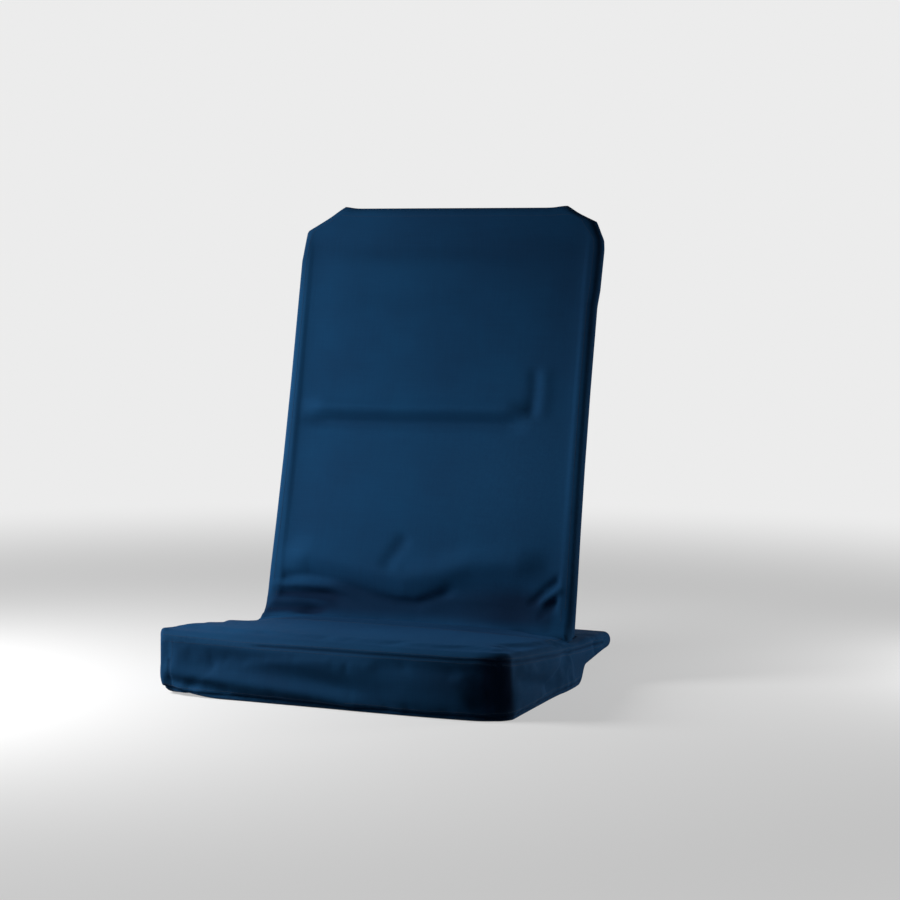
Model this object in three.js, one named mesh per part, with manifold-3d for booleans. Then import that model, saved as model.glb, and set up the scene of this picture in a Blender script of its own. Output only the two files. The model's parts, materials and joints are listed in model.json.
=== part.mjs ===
import * as THREE from 'three';
import { mergeVertices } from 'three/addons/utils/BufferGeometryUtils.js';
import Module from 'manifold-3d';

// Folding floor chair: a padded seat around a flat tube frame, and a fabric-sleeved back hoop hinged on it.
// The chair faces -Y, +X is to the right seen from the front and +Z is up. Millimetres and degrees.

const wasm = await Module();
wasm.setup();

// Seat cushion
const seatOverhang = 13.5;
const seatDepth = 428;
const seatFrontHeight = 84;
const seatHingeHeight = 61;
const seatCrown = 6;
const seatEdgeRadius = 16;
const seatSideDraw = 4;
const seatFrontDraw = 3;
const foamFloorDepth = 288;
const foamEndDepth = 22;
const foamEndRise = 18;

// Tube frames
const tubeDiameter = 19;
const tubeWall = 1.2;
const barDiameter = 12.7;
const barWall = 1;
const railHeight = 42;
const seatBendRadius = 50;
const frontFoam = 19;
const midBarDepth = 150;
const backBendRadius = 30;
const lowerBarRise = 45;

// Back
const backWidth = 473;
const backLength = 598;
const backRecline = 12;
const pivotDepth = 300.6;
const legBelowPivot = 26;
const chamferWidth = 58;
const chamferDrop = 36;
const shoulderTaper = 4.5;
const shoulderDrop = 46;
const frontPanelStart = 18;
const sleeveCornerRadius = 7;

// Cloth
const clothWall = 1.2;
const lapDepth = 96;
const lapCornerReach = 20;
const lapCornerRise = 9;
const lapFoldDepth = 2.4;
const lapFoldSpacing = 78;
const creaseRise = 286;
const creaseDepth = 2.4;
const creaseWidth = 22;
const sagDepth = 5.5;
const sagRise = 74;
const sagDip = 46;
const sagWidth = 24;
const sagReach = 48;

// Hinge hardware
const plateThickness = 3;
const plateNeckRadius = 9;
const plateNeckDrop = 17;
const plateFrontDrop = 6;
const plateFootDrop = 6;
const plateFootReach = 25;
const boltRadius = 3;
const boltHeadRadius = 5.5;
const boltHeadHeight = 3;
const boltTail = 1.4;
const spacerThickness = 1.7;
const spacerRadius = 8;
const washerThickness = 1.2;
const washerRadius = 6.2;
const nutHeight = 5;
const nutRadius = 5.7;
const stopPinRadius = 3.5;
const stopPinDrop = 21;
const stopPinRim = 3;
const rivetHeadRadius = 5;
const rivetHeadHeight = 1;
const crushSleeveRadius = 4.6;
const plugCap = 1.5;
const plugStem = 14;

// Closure under the rear of the seat
const closureWidth = 380;
const closureDepth = 54;
const closureInset = 12;
const flapMargin = 9;
const tapeThickness = 1;

// Clearances
const fit = 0.3;
const clothFit = 0.4;
const headGap = 0.5;
const swingGap = 2.1;
const slotGap = 2;
const sleeveSeatGap = 4;
const overrun = 5;

// Facets, and shares of the width and depth where the cloth forms have their stations
const tubeSides = 16;
const bendSteps = 4;
const roundSteps = 3;
const seatAcrossShares = [-0.8, -0.6, -0.4, -0.2, 0, 0.2, 0.4, 0.6, 0.8];
const seatAlongShares = [0.12, 0.32, 0.52, 0.72, 0.9];
const sleeveAcrossShares = [-0.84, -0.64, -0.44, -0.22, 0, 0.22, 0.44, 0.64, 0.84];
const sleeveRearShares = [0.6, 0, -0.6];
const lapAcrossSteps = 24;
const lapAlongSteps = 7;
const slopeShare = 0.01;
const edgeFadeShare = 0.5;
const lowerSteps = 5;
const hexSides = 6;

// Worked out from the sizes above
const half = 1 / 2;
const quarterTurn = Math.PI * half;
const tubeRadius = tubeDiameter * half;
const tubeBore = tubeRadius - tubeWall;
const barRadius = barDiameter * half;
const recline = THREE.MathUtils.degToRad(backRecline);
const frontY = -seatDepth * half;
const rearY = seatDepth * half;
const backHalf = backWidth * half;
const seatHalf = backHalf + seatOverhang;
const seatWidth = 2 * seatHalf;
const foamEndY = frontY + foamFloorDepth;
const slopeY = foamEndY + foamEndDepth;
const pivotY = frontY + pivotDepth;
const plugReach = legBelowPivot + fit + plugCap;
const swingRadius = Math.hypot(plugReach, tubeRadius);
const pivotZ = railHeight + tubeRadius + swingRadius + swingGap;
const sleeveHalfDepth = tubeRadius + fit + clothWall;
const legX = backHalf - clothWall - headGap - boltHeadHeight - fit - tubeRadius;
const legOuterX = legX + tubeRadius;
const plateOuterX = legX - tubeRadius - fit - spacerThickness - fit;
const plateInnerX = plateOuterX - plateThickness;
const railX = plateOuterX + fit + tubeRadius;
const coverReach = tubeRadius + clothFit + clothWall;
const rearTop = railHeight + coverReach;
const rearBarY = rearY - coverReach;
const frontBarY = frontY + clothWall + frontFoam + tubeRadius;
const midBarY = frontBarY + midBarDepth;
const splitHeight = railHeight - tubeRadius - fit;
const boltHoleRadius = boltRadius + fit;
const pinOffset = tubeRadius + fit + stopPinRadius;
const pinY = pivotY - stopPinDrop * Math.sin(recline) - pinOffset * Math.cos(recline);
const pinZ = pivotZ - stopPinDrop * Math.cos(recline) + pinOffset * Math.sin(recline);
const sleeveLift = seatHingeHeight + seatCrown + sleeveSeatGap + sleeveHalfDepth * Math.sin(recline);
const sleeveBelowPivot = (pivotZ - sleeveLift) / Math.cos(recline);
const chamferRise = backLength - chamferDrop;
const shoulderRise = chamferRise - shoulderDrop;

// Colours and finishes
function finish(color, roughness, metalness = 0) {
  return new THREE.MeshStandardMaterial({ color, roughness, metalness });
}

const navyDuck = finish(0x143455, 0.85);
const blackSteel = finish(0x1c1d1f, 0.45, 0.6);
const zincSteel = finish(0xb9bcc0, 0.35, 0.9);
const whiteNylon = finish(0xe4e1d8, 0.5);
const blackPlastic = finish(0x17181a, 0.55);
const paleFoam = finish(0xd9cf9f, 0.95);
const darkTape = finish(0x101828, 0.9);

const lerp = THREE.MathUtils.lerp;
const bell = (distance, width) => Math.exp(-((distance / width) ** 2));
const vector = (x, y, z) => new THREE.Vector3(x, y, z);

// A closed geometry becomes a solid that can be cut and joined.
function toSolid(source) {
  const bare = new THREE.BufferGeometry();
  bare.setAttribute('position', source.getAttribute('position').clone());
  if (source.index) bare.setIndex(source.index.clone());
  const merged = mergeVertices(bare);
  const points = Float32Array.from(merged.getAttribute('position').array);
  const corners = Array.from(merged.index.array);
  const triangles = [];
  for (let i = 0; i < corners.length; i += 3) {
    const [a, b, c] = corners.slice(i, i + 3);
    if (a !== b && b !== c && c !== a) triangles.push(a, b, c);
  }
  const solidOf = (order) => {
    const mesh = new wasm.Mesh({ numProp: 3, vertProperties: points, triVerts: Uint32Array.from(order) });
    return new wasm.Manifold(mesh);
  };
  const solid = solidOf(triangles);
  return solid.volume() > 0 ? solid : solidOf(triangles.reverse());
}

function toGeometry(solid) {
  const mesh = solid.getMesh();
  const geometry = new THREE.BufferGeometry();
  const points = Float32Array.from(mesh.vertProperties);
  geometry.setAttribute('position', new THREE.BufferAttribute(points, mesh.numProp));
  geometry.setIndex(new THREE.BufferAttribute(Uint32Array.from(mesh.triVerts), 1));
  geometry.computeVertexNormals();
  return geometry;
}

function addPiece(parent, name, solid, material) {
  const mesh = new THREE.Mesh(toGeometry(solid), material);
  mesh.name = name;
  parent.add(mesh);
  return mesh;
}

// A block between two corners.
function blockSolid(low, high) {
  const size = high.clone().sub(low);
  const middle = high.clone().add(low).multiplyScalar(half);
  const block = new THREE.BoxGeometry(size.x, size.y, size.z);
  block.translate(middle.x, middle.y, middle.z);
  return toSolid(block);
}

// A shape turned about a line along X, from a profile of radius and distance out from the middle plane.
function turnedSolid(profile, side, y, z, sides = tubeSides) {
  const points = profile.map(([radius, out]) => new THREE.Vector2(radius, out));
  const turned = new THREE.LatheGeometry(points, sides);
  turned.rotateZ(-side * quarterTurn);
  turned.translate(0, y, z);
  return toSolid(turned);
}

function barSolid(radius, inner, outer, side, y, z, sides = tubeSides) {
  return turnedSolid([[0, inner], [radius, inner], [radius, outer], [0, outer]], side, y, z, sides);
}

function ringSolid(radius, hole, inner, outer, side, y, z, sides = tubeSides) {
  const ring = [[hole, inner], [radius, inner], [radius, outer], [hole, outer], [hole, inner]];
  return turnedSolid(ring, side, y, z, sides);
}

// The route of a bent tube: straight runs joined by arcs, with stations at their ends and along each arc.
class BentRoute extends THREE.Curve {
  constructor(corners, bendRadius) {
    super();
    const runs = corners.slice(1).map((corner, i) => corner.clone().sub(corners[i]).normalize());
    this.stations = [{ point: corners[0], tangent: runs[0] }];
    for (let i = 1; i < runs.length; i++) this.addBend(corners[i], runs[i - 1], runs[i], bendRadius);
    this.stations.push({ point: corners[runs.length], tangent: runs[runs.length - 1] });
  }

  addBend(corner, into, away, radius) {
    const turn = into.angleTo(away);
    const inward = away.clone().sub(into).normalize();
    const centre = corner.clone().addScaledVector(inward, radius / Math.cos(turn * half));
    const start = corner.clone().addScaledVector(into, -radius * Math.tan(turn * half)).sub(centre);
    const axis = into.clone().cross(away).normalize();
    for (let k = 0; k <= bendSteps; k++) {
      const angle = (turn * k) / bendSteps;
      const point = start.clone().applyAxisAngle(axis, angle).add(centre);
      this.stations.push({ point, tangent: into.clone().applyAxisAngle(axis, angle) });
    }
  }

  station(t) {
    return this.stations[Math.round(t * (this.stations.length - 1))];
  }

  getPointAt(t) {
    return this.station(t).point.clone();
  }

  getTangentAt(t) {
    return this.station(t).tangent.clone();
  }
}

function circlePoints(radius) {
  const points = [];
  for (let k = 0; k < tubeSides; k++) {
    const angle = (2 * Math.PI * (k + half)) / tubeSides;
    points.push(new THREE.Vector2(radius * Math.cos(angle), radius * Math.sin(angle)));
  }
  return points;
}

function routeSolid(route, radius, hole = 0) {
  const shape = new THREE.Shape(circlePoints(radius));
  if (hole > 0) shape.holes.push(new THREE.Path(circlePoints(hole)));
  const steps = route.stations.length - 1;
  return toSolid(new THREE.ExtrudeGeometry(shape, { steps, extrudePath: route, bevelEnabled: false }));
}

// A closed form through loops with the same count of points, from the first loop to the last, capped at both.
function loftSolid(loops) {
  const sides = loops[0].length;
  const rows = loops.length - 1;
  const form = new THREE.CylinderGeometry(1, 1, rows, sides, rows);
  const place = form.getAttribute('position');
  const row = vector();
  for (let i = 0; i < place.count; i++) {
    row.fromBufferAttribute(place, i);
    const loop = loops[Math.round(row.y + rows * half)];
    const side = Math.round((Math.atan2(row.x, row.z) / (2 * Math.PI)) * sides);
    const point = Math.hypot(row.x, row.z) < half ? middleOf(loop) : loop[(side + sides) % sides];
    place.setXYZ(i, point.x, point.y, point.z);
  }
  return toSolid(form);
}

function middleOf(loop) {
  const sum = vector();
  for (const point of loop) sum.add(point);
  return sum.divideScalar(loop.length);
}

// Height of the cushion's outer top over a point of the floor, before its edges are rounded.
function seatTop(x, y) {
  const across = Math.max(0, 1 - (x / seatHalf) ** 2);
  const along = Math.max(0, 1 - (y / rearY) ** 2);
  const toHinge = lerp(seatFrontHeight, seatHingeHeight, (y - frontY) / (pivotY - frontY));
  const toRear = lerp(seatHingeHeight, rearTop, (y - pivotY) / (rearY - pivotY));
  return (y < pivotY ? toHinge : toRear) + seatCrown * across * along;
}

// One loop of the cushion in the plane at x: over the top from front to rear bar, and back underneath.
function seatLoop(x, inset) {
  const front = frontY + inset;
  const radius = Math.max(seatEdgeRadius - inset, fit);
  const nose = Math.max(coverReach - inset, fit);
  const loop = [];
  const push = (y, z) => {
    const across = 1 - (x / seatHalf) ** 2;
    const along = 1 - (y / rearY) ** 2;
    const towardsFront = (rearY - y) / seatDepth;
    const drawnX = x * (1 - (seatSideDraw / seatHalf) * along);
    loop.push(vector(drawnX, y + seatFrontDraw * across * towardsFront, z));
  };
  for (let k = 0; k <= roundSteps; k++) {
    const angle = (quarterTurn * k) / roundSteps;
    const y = front + radius * (1 - Math.cos(angle));
    push(y, seatTop(x, front + radius) - inset - radius * (1 - Math.sin(angle)));
  }
  for (const share of seatAlongShares) {
    const y = lerp(front + radius, rearBarY, share);
    push(y, seatTop(x, y) - inset);
  }
  for (let k = 0; k <= 2 * roundSteps; k++) {
    const angle = (quarterTurn * k) / roundSteps;
    push(rearBarY + nose * Math.sin(angle), railHeight + nose * Math.cos(angle));
  }
  push(slopeY, foamEndRise + inset);
  push(foamEndY, inset);
  push(lerp(front, foamEndY, half), inset);
  for (let k = 0; k < roundSteps; k++) {
    const angle = (quarterTurn * k) / roundSteps;
    push(front + radius * (1 - Math.sin(angle)), inset + radius * (1 - Math.cos(angle)));
  }
  return loop;
}

// The cushion's outer form, or the space inside it at an inset: crowned, with sides drawn in and rounded.
function seatForm(inset) {
  const reach = seatHalf - inset;
  const radius = seatEdgeRadius - inset;
  const ends = [];
  for (let k = 0; k <= roundSteps; k++) {
    const angle = (quarterTurn * k) / roundSteps;
    const x = reach - radius * (1 - Math.sin(angle));
    ends.push([x, inset + radius * half * (1 - Math.cos(angle))]);
  }
  const middle = seatAcrossShares.map((share) => seatLoop(share * (reach - radius), inset));
  const right = ends.map(([x, draw]) => seatLoop(x, draw));
  const left = ends.map(([x, draw]) => seatLoop(-x, draw)).reverse();
  return loftSolid([...left, ...middle, ...right]);
}

// How far the back's front panel lies in from flat: a packing crease across it, and a sag above the lap.
function panelFold(x, rise) {
  const across = Math.max(0, 1 - (x / (legX - tubeRadius)) ** 2);
  const sagLine = sagRise - sagDip * across;
  const crease = creaseDepth * bell(rise - creaseRise, creaseWidth);
  const sag = sagDepth * bell(rise - sagLine, sagWidth);
  return (crease + sag) * Math.min(1, across / edgeFadeShare);
}

function sleeveHalfAt(rise) {
  if (rise <= shoulderRise) return backHalf;
  if (rise <= chamferRise) return backHalf - (shoulderTaper * (rise - shoulderRise)) / shoulderDrop;
  return backHalf - shoulderTaper - (chamferWidth * (rise - chamferRise)) / chamferDrop;
}

// One loop of the back's sleeve at a rise above the pivot; depth is half its thickness there.
function sleeveLoop(rise, inset, depth) {
  const reach = sleeveHalfAt(Math.min(rise, backLength)) - inset;
  const radius = Math.min(sleeveCornerRadius - inset, depth);
  const loop = [];
  for (const share of sleeveAcrossShares) {
    const x = share * (reach - radius);
    loop.push(vector(x, panelFold(x, rise) - depth, rise));
  }
  for (const [side, face] of [[1, -1], [1, 1], [-1, 1], [-1, -1]]) {
    for (let k = 0; k <= roundSteps; k++) {
      const angle = (quarterTurn * k) / roundSteps;
      const along = side * face < 0 ? [Math.sin(angle), Math.cos(angle)] : [Math.cos(angle), Math.sin(angle)];
      const x = side * (reach - radius + radius * along[0]);
      loop.push(vector(x, face * (depth - radius + radius * along[1]), rise));
    }
    if (side * face > 0 && side > 0) {
      for (const share of sleeveRearShares) loop.push(vector(share * (reach - radius), depth, rise));
    }
  }
  return loop;
}

// The sleeve's outer form, or the space inside it, from its open foot to its rounded top edge.
function sleeveForm(inset, foot) {
  const depth = sleeveHalfDepth - inset;
  const top = backLength - inset;
  const bendRise = sagRise + sagReach;
  const lower = [];
  for (let k = 0; k <= lowerSteps; k++) lower.push(lerp(frontPanelStart, bendRise, k / lowerSteps));
  const creased = [-1, 0, 1].map((k) => creaseRise + k * creaseWidth);
  const upper = [lerp(creaseRise, shoulderRise, half), shoulderRise, chamferRise];
  const rises = [foot, ...lower, lerp(bendRise, creaseRise, half), ...creased, ...upper];
  const loops = rises.map((rise) => sleeveLoop(rise, inset, depth));
  for (let k = 0; k <= roundSteps; k++) {
    const angle = (quarterTurn * k) / roundSteps;
    const drawn = depth * (1 - half * (1 - Math.cos(angle)));
    loops.push(sleeveLoop(top - depth * half * (1 - Math.sin(angle)), inset, drawn));
  }
  return loftSolid(loops);
}

const chair = new THREE.Group();
const seat = new THREE.Group();
const back = new THREE.Group();
back.position.set(0, pivotY, pivotZ);
back.rotation.x = -recline;
chair.add(seat, back);

function nameSide(side) {
  return side > 0 ? 'right' : 'left';
}

// Seat frame: a bent hoop along the front and both sides, closed by a rear bar, with a bar across its middle.
const railRoute = new BentRoute(
  [
    vector(-railX, rearBarY, railHeight),
    vector(-railX, frontBarY, railHeight),
    vector(railX, frontBarY, railHeight),
    vector(railX, rearBarY, railHeight),
  ],
  seatBendRadius,
);
const rearBarHalf = railX + tubeRadius;
const rearBarRoom = barSolid(tubeRadius + fit, -rearBarHalf, rearBarHalf, 1, rearBarY, railHeight);
const hoopRoom = routeSolid(railRoute, tubeRadius + fit);
const seatHoop = routeSolid(railRoute, tubeRadius, tubeBore).subtract(rearBarRoom);
addPiece(seat, 'seat_hoop', seatHoop, blackSteel);
const rearBar = ringSolid(tubeRadius, tubeBore, -rearBarHalf, rearBarHalf, 1, rearBarY, railHeight);
addPiece(seat, 'seat_rear_bar', rearBar, blackSteel);
const midBar = ringSolid(barRadius, barRadius - barWall, -railX, railX, 1, midBarY, railHeight);
addPiece(seat, 'seat_mid_bar', midBar.subtract(hoopRoom), blackSteel);

// A plug pressed into an open tube end, its cap outside.
function plugProfile(end, radius, wall) {
  const stem = (radius - wall) * Math.cos(Math.PI / tubeSides) - fit;
  return [
    [0, end - plugStem],
    [stem, end - plugStem],
    [stem, end + fit],
    [radius, end + fit],
    [radius, end + fit + plugCap],
    [0, end + fit + plugCap],
  ];
}

for (const side of [-1, 1]) {
  const plug = turnedSolid(plugProfile(rearBarHalf, tubeRadius, tubeWall), side, rearBarY, railHeight);
  addPiece(seat, `rear_bar_plug_${nameSide(side)}`, plug, blackPlastic);
}

// Hinge plate: a foot along the rail's inner side, a shoulder for the stop pin and a neck that leans back.
function leaning(away, up) {
  const y = pivotY + up * Math.sin(recline) + away * Math.cos(recline);
  const z = pivotZ + up * Math.cos(recline) - away * Math.sin(recline);
  return [y, z];
}

function plateSolid(side) {
  const footZ = railHeight - plateFootDrop;
  const outline = [
    [pivotY - plateFootReach, footZ],
    [pivotY + plateFootReach, footZ],
    [pivotY + plateFootReach, railHeight + tubeRadius],
    leaning(plateNeckRadius, -plateNeckDrop),
  ];
  const capSteps = 2 * bendSteps;
  for (let k = 0; k <= capSteps; k++) {
    const angle = (Math.PI * k) / capSteps;
    outline.push(leaning(plateNeckRadius * Math.cos(angle), plateNeckRadius * Math.sin(angle)));
  }
  outline.push(leaning(-plateNeckRadius, -plateFrontDrop));
  outline.push([pinY, pinZ + stopPinRadius + stopPinRim]);
  outline.push([pivotY - plateFootReach, pinZ]);
  const shape = new THREE.Shape(outline.map(([y, z]) => new THREE.Vector2(y, z)));
  const plate = new THREE.ExtrudeGeometry(shape, { depth: plateThickness, bevelEnabled: false });
  const place = plate.getAttribute('position');
  for (let i = 0; i < place.count; i++) {
    place.setXYZ(i, side * (plateInnerX + place.getZ(i)), place.getX(i), place.getY(i));
  }
  const inner = plateInnerX - overrun;
  const outer = plateOuterX + overrun;
  return toSolid(plate)
    .subtract(barSolid(boltHoleRadius, inner, outer, side, pivotY, pivotZ))
    .subtract(barSolid(stopPinRadius + fit, inner, outer, side, pinY, pinZ));
}

function stopPinSolid(side) {
  const head = plateInnerX - fit;
  const profile = [
    [0, head - rivetHeadHeight],
    [rivetHeadRadius, head - rivetHeadHeight],
    [rivetHeadRadius, head],
    [stopPinRadius, head],
    [stopPinRadius, legOuterX],
    [0, legOuterX],
  ];
  return turnedSolid(profile, side, pinY, pinZ);
}

// The pivot stack, from the inside out: nut, washer, plate, spacer, leg with its crush sleeve, bolt head.
const washerOuterX = plateInnerX - fit;
const washerInnerX = washerOuterX - washerThickness;
const nutOuterX = washerInnerX - fit;
const nutInnerX = nutOuterX - nutHeight;
const headInnerX = legOuterX + fit;

function boltSolid(side) {
  const profile = [
    [0, nutInnerX - boltTail],
    [boltRadius, nutInnerX - boltTail],
    [boltRadius, headInnerX],
    [boltHeadRadius, headInnerX],
    [boltHeadRadius, headInnerX + boltHeadHeight * half],
    [boltHeadRadius - boltHeadHeight * half, headInnerX + boltHeadHeight],
    [0, headInnerX + boltHeadHeight],
  ];
  return turnedSolid(profile, side, pivotY, pivotZ);
}

for (const side of [-1, 1]) {
  const end = nameSide(side);
  addPiece(seat, `hinge_plate_${end}`, plateSolid(side), blackSteel);
  addPiece(seat, `stop_pin_${end}`, stopPinSolid(side), zincSteel);
  addPiece(seat, `pivot_bolt_${end}`, boltSolid(side), zincSteel);
  const atPivot = [side, pivotY, pivotZ];
  const hexNut = barSolid(nutRadius, nutInnerX, nutOuterX, ...atPivot, hexSides);
  const nutHole = barSolid(boltHoleRadius, nutInnerX - overrun, nutOuterX + overrun, ...atPivot);
  addPiece(seat, `pivot_nut_${end}`, hexNut.subtract(nutHole), zincSteel);
  const washer = ringSolid(washerRadius, boltHoleRadius, washerInnerX, washerOuterX, ...atPivot);
  addPiece(seat, `nut_washer_${end}`, washer, zincSteel);
  const spacerInner = plateOuterX + fit;
  const spacerOuter = spacerInner + spacerThickness;
  const spacer = ringSolid(spacerRadius, boltHoleRadius, spacerInner, spacerOuter, ...atPivot);
  addPiece(seat, `pivot_spacer_${end}`, spacer, whiteNylon);
}

// Room round each hinge: where the plate and the swinging leg pass through the foam and the top of the cover.
function hingeRoom(side, floor) {
  const xs = [side * (plateInnerX - slotGap), side * (legOuterX + slotGap)].sort((a, b) => a - b);
  const reach = Math.max(swingRadius, plateFootReach) + slotGap;
  const low = vector(xs[0], pivotY - plateFootReach - slotGap, floor);
  return blockSolid(low, vector(xs[1], pivotY + reach, seatFrontHeight + seatCrown + overrun));
}

// Seat foam: a base slab that carries the chair on the floor, and a crowned upper slab routed for the frame.
const seatInside = seatForm(clothWall + clothFit);
const slabLow = vector(-seatWidth, -seatDepth, splitHeight + fit);
const slabHigh = vector(seatWidth, rearBarY - tubeRadius - fit, seatFrontHeight + seatCrown + overrun);
let foamTop = seatInside.intersect(blockSolid(slabLow, slabHigh)).subtract(hoopRoom);
foamTop = foamTop.subtract(barSolid(barRadius + fit, -railX, railX, 1, midBarY, railHeight));
const baseLow = vector(-seatWidth, -seatDepth, -overrun);
const foamBase = seatInside.intersect(blockSolid(baseLow, vector(seatWidth, slopeY, splitHeight)));
const coverInside = seatForm(clothWall);
let seatCover = seatForm(0).subtract(coverInside);
for (const side of [-1, 1]) {
  foamTop = foamTop.subtract(hingeRoom(side, splitHeight));
  seatCover = seatCover.subtract(hingeRoom(side, railHeight));
}
addPiece(seat, 'seat_foam_base', foamBase, paleFoam);
addPiece(seat, 'seat_foam_top', foamTop, paleFoam);
addPiece(seat, 'seat_cover', seatCover, navyDuck);

// Closure of the cover: a flap under its sloping rear, held by hook tape on loop tape.
const closure = new THREE.Group();
const slopeRise = rearTop - 2 * coverReach - foamEndRise;
const slopeAngle = Math.atan2(slopeRise, rearBarY - slopeY);
closure.position.set(0, slopeY, foamEndRise);
closure.rotation.x = slopeAngle;
seat.add(closure);
const flapHalf = closureWidth * half;
const tapeHalf = flapHalf - flapMargin;
const flapEnd = closureInset + closureDepth;
const tapes = [
  ['loop_tape', tapeThickness, darkTape, tapeHalf, flapMargin],
  ['hook_tape', tapeThickness, darkTape, tapeHalf, flapMargin],
  ['closure_flap', clothWall, navyDuck, flapHalf, 0],
];
let layerTop = -clothFit;
for (const [name, thickness, material, reach, margin] of tapes) {
  const low = vector(-reach, closureInset + margin, layerTop - thickness);
  addPiece(closure, name, blockSolid(low, vector(reach, flapEnd - margin, layerTop)), material);
  layerTop -= thickness + fit;
}

// Back frame: an inverted hoop with chamfered upper corners, and a bar low across its legs.
const hoopInset = clothWall + clothFit + tubeRadius;
const chamferSlope = Math.atan2(chamferDrop, chamferWidth);
const hoopTop = backLength - hoopInset;
const chamferOuterX = backHalf - shoulderTaper - hoopInset * Math.sin(chamferSlope);
const chamferOuterRise = chamferRise - hoopInset * Math.cos(chamferSlope);
const shoulderZ = chamferOuterRise + (chamferOuterX - legX) * Math.tan(chamferSlope);
const topX = chamferOuterX - (hoopTop - chamferOuterRise) / Math.tan(chamferSlope);
const legRoute = new BentRoute(
  [
    vector(-legX, 0, -legBelowPivot),
    vector(-legX, 0, shoulderZ),
    vector(-topX, 0, hoopTop),
    vector(topX, 0, hoopTop),
    vector(legX, 0, shoulderZ),
    vector(legX, 0, -legBelowPivot),
  ],
  backBendRadius,
);
let backHoop = routeSolid(legRoute, tubeRadius, tubeBore);
for (const side of [-1, 1]) {
  const hole = barSolid(boltHoleRadius, legX - tubeDiameter, legX + tubeDiameter, side, 0, 0);
  backHoop = backHoop.subtract(hole);
}
addPiece(back, 'back_hoop', backHoop, blackSteel);
const barSetBack = tubeRadius - barRadius;
const lowerBar = ringSolid(barRadius, barRadius - barWall, -legX, legX, 1, barSetBack, lowerBarRise);
addPiece(back, 'back_lower_bar', lowerBar.subtract(routeSolid(legRoute, tubeRadius + fit)), blackSteel);
const facetShare = Math.cos(Math.PI / tubeSides);
const boreRadius = tubeBore * facetShare;
const crushHalf = Math.sqrt(boreRadius ** 2 - crushSleeveRadius ** 2) - fit;
for (const side of [-1, 1]) {
  const end = nameSide(side);
  const inner = legX - crushHalf;
  const outer = legX + crushHalf;
  const crushSleeve = ringSolid(crushSleeveRadius, boltHoleRadius, inner, outer, side, 0, 0);
  addPiece(back, `crush_sleeve_${end}`, crushSleeve, zincSteel);
  const profile = plugProfile(legBelowPivot, tubeRadius, tubeWall);
  const plug = new THREE.LatheGeometry(profile.map(([radius, out]) => new THREE.Vector2(radius, out)), tubeSides);
  plug.rotateX(-quarterTurn);
  plug.translate(side * legX, 0, 0);
  addPiece(back, `leg_plug_${end}`, toSolid(plug), blackPlastic);
}

// Back sleeve: pulled over the hoop from above, open at the foot, its front panel ending above the lap cloth.
const sleeveFoot = -sleeveBelowPivot;
const panelHalf = backHalf - sleeveCornerRadius;
const panelLow = vector(-panelHalf, -sleeveHalfDepth - overrun, sleeveFoot - overrun);
const backSleeve = sleeveForm(0, sleeveFoot)
  .subtract(sleeveForm(clothWall, sleeveFoot - overrun))
  .subtract(blockSolid(panelLow, vector(panelHalf, 0, frontPanelStart)));
addPiece(back, 'back_sleeve', backSleeve, navyDuck);

// Lap cloth: from the foot of the front panel it curves forward and down onto the seat, in soft folds.
const lapFrontY = pivotY - lapDepth;
const lapHalf = panelHalf - clothFit;
const lapTop = frontPanelStart - clothFit - clothWall * half;

function lapPoint(across, along) {
  const x = across * lapHalf;
  const panelDepth = panelFold(x, lapTop) - sleeveHalfDepth + clothWall * half;
  const [panelY, panelZ] = leaning(panelDepth, lapTop);
  const cornerY = panelY - lapCornerReach;
  const lift = clothWall * half + clothFit;
  const start = vector(x, lapFrontY, seatTop(x, lapFrontY) + lift);
  const corner = vector(x, cornerY, seatTop(x, cornerY) + lift + lapCornerRise);
  const curve = new THREE.QuadraticBezierCurve3(start, corner, vector(x, panelY, panelZ));
  const point = curve.getPoint(along);
  point.z += lapFoldDepth * Math.cos((2 * Math.PI * x) / lapFoldSpacing) * Math.sin(Math.PI * along) * half;
  return point;
}

function lapSolid() {
  const sheet = new THREE.BoxGeometry(2, 1, 1, lapAcrossSteps, lapAlongSteps, 1);
  const place = sheet.getAttribute('position');
  for (let i = 0; i < place.count; i++) {
    const across = place.getX(i);
    const along = place.getY(i) + half;
    const point = lapPoint(across, along);
    const sideways = lapPoint(across + slopeShare, along).sub(lapPoint(across - slopeShare, along));
    const above = lapPoint(across, Math.min(1, along + slopeShare));
    const below = lapPoint(across, Math.max(0, along - slopeShare));
    const normal = sideways.cross(above.sub(below)).normalize();
    point.addScaledVector(normal, place.getZ(i) * clothWall);
    place.setXYZ(i, point.x, point.y, point.z);
  }
  return toSolid(sheet);
}

addPiece(seat, 'lap_cloth', lapSolid(), navyDuck);

// The origin is on the floor, under the middle of the chair's bounding box.
chair.updateMatrixWorld(true);
const bounds = new THREE.Box3().setFromObject(chair, true);
const middle = bounds.getCenter(vector());
chair.position.set(-middle.x, -middle.y, -bounds.min.z);
const group = new THREE.Group();
group.add(chair);

export default group;
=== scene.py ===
import json
import math

import bpy
import numpy as np
from mathutils import Matrix, Vector
from mathutils.bvhtree import BVHTree

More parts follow.
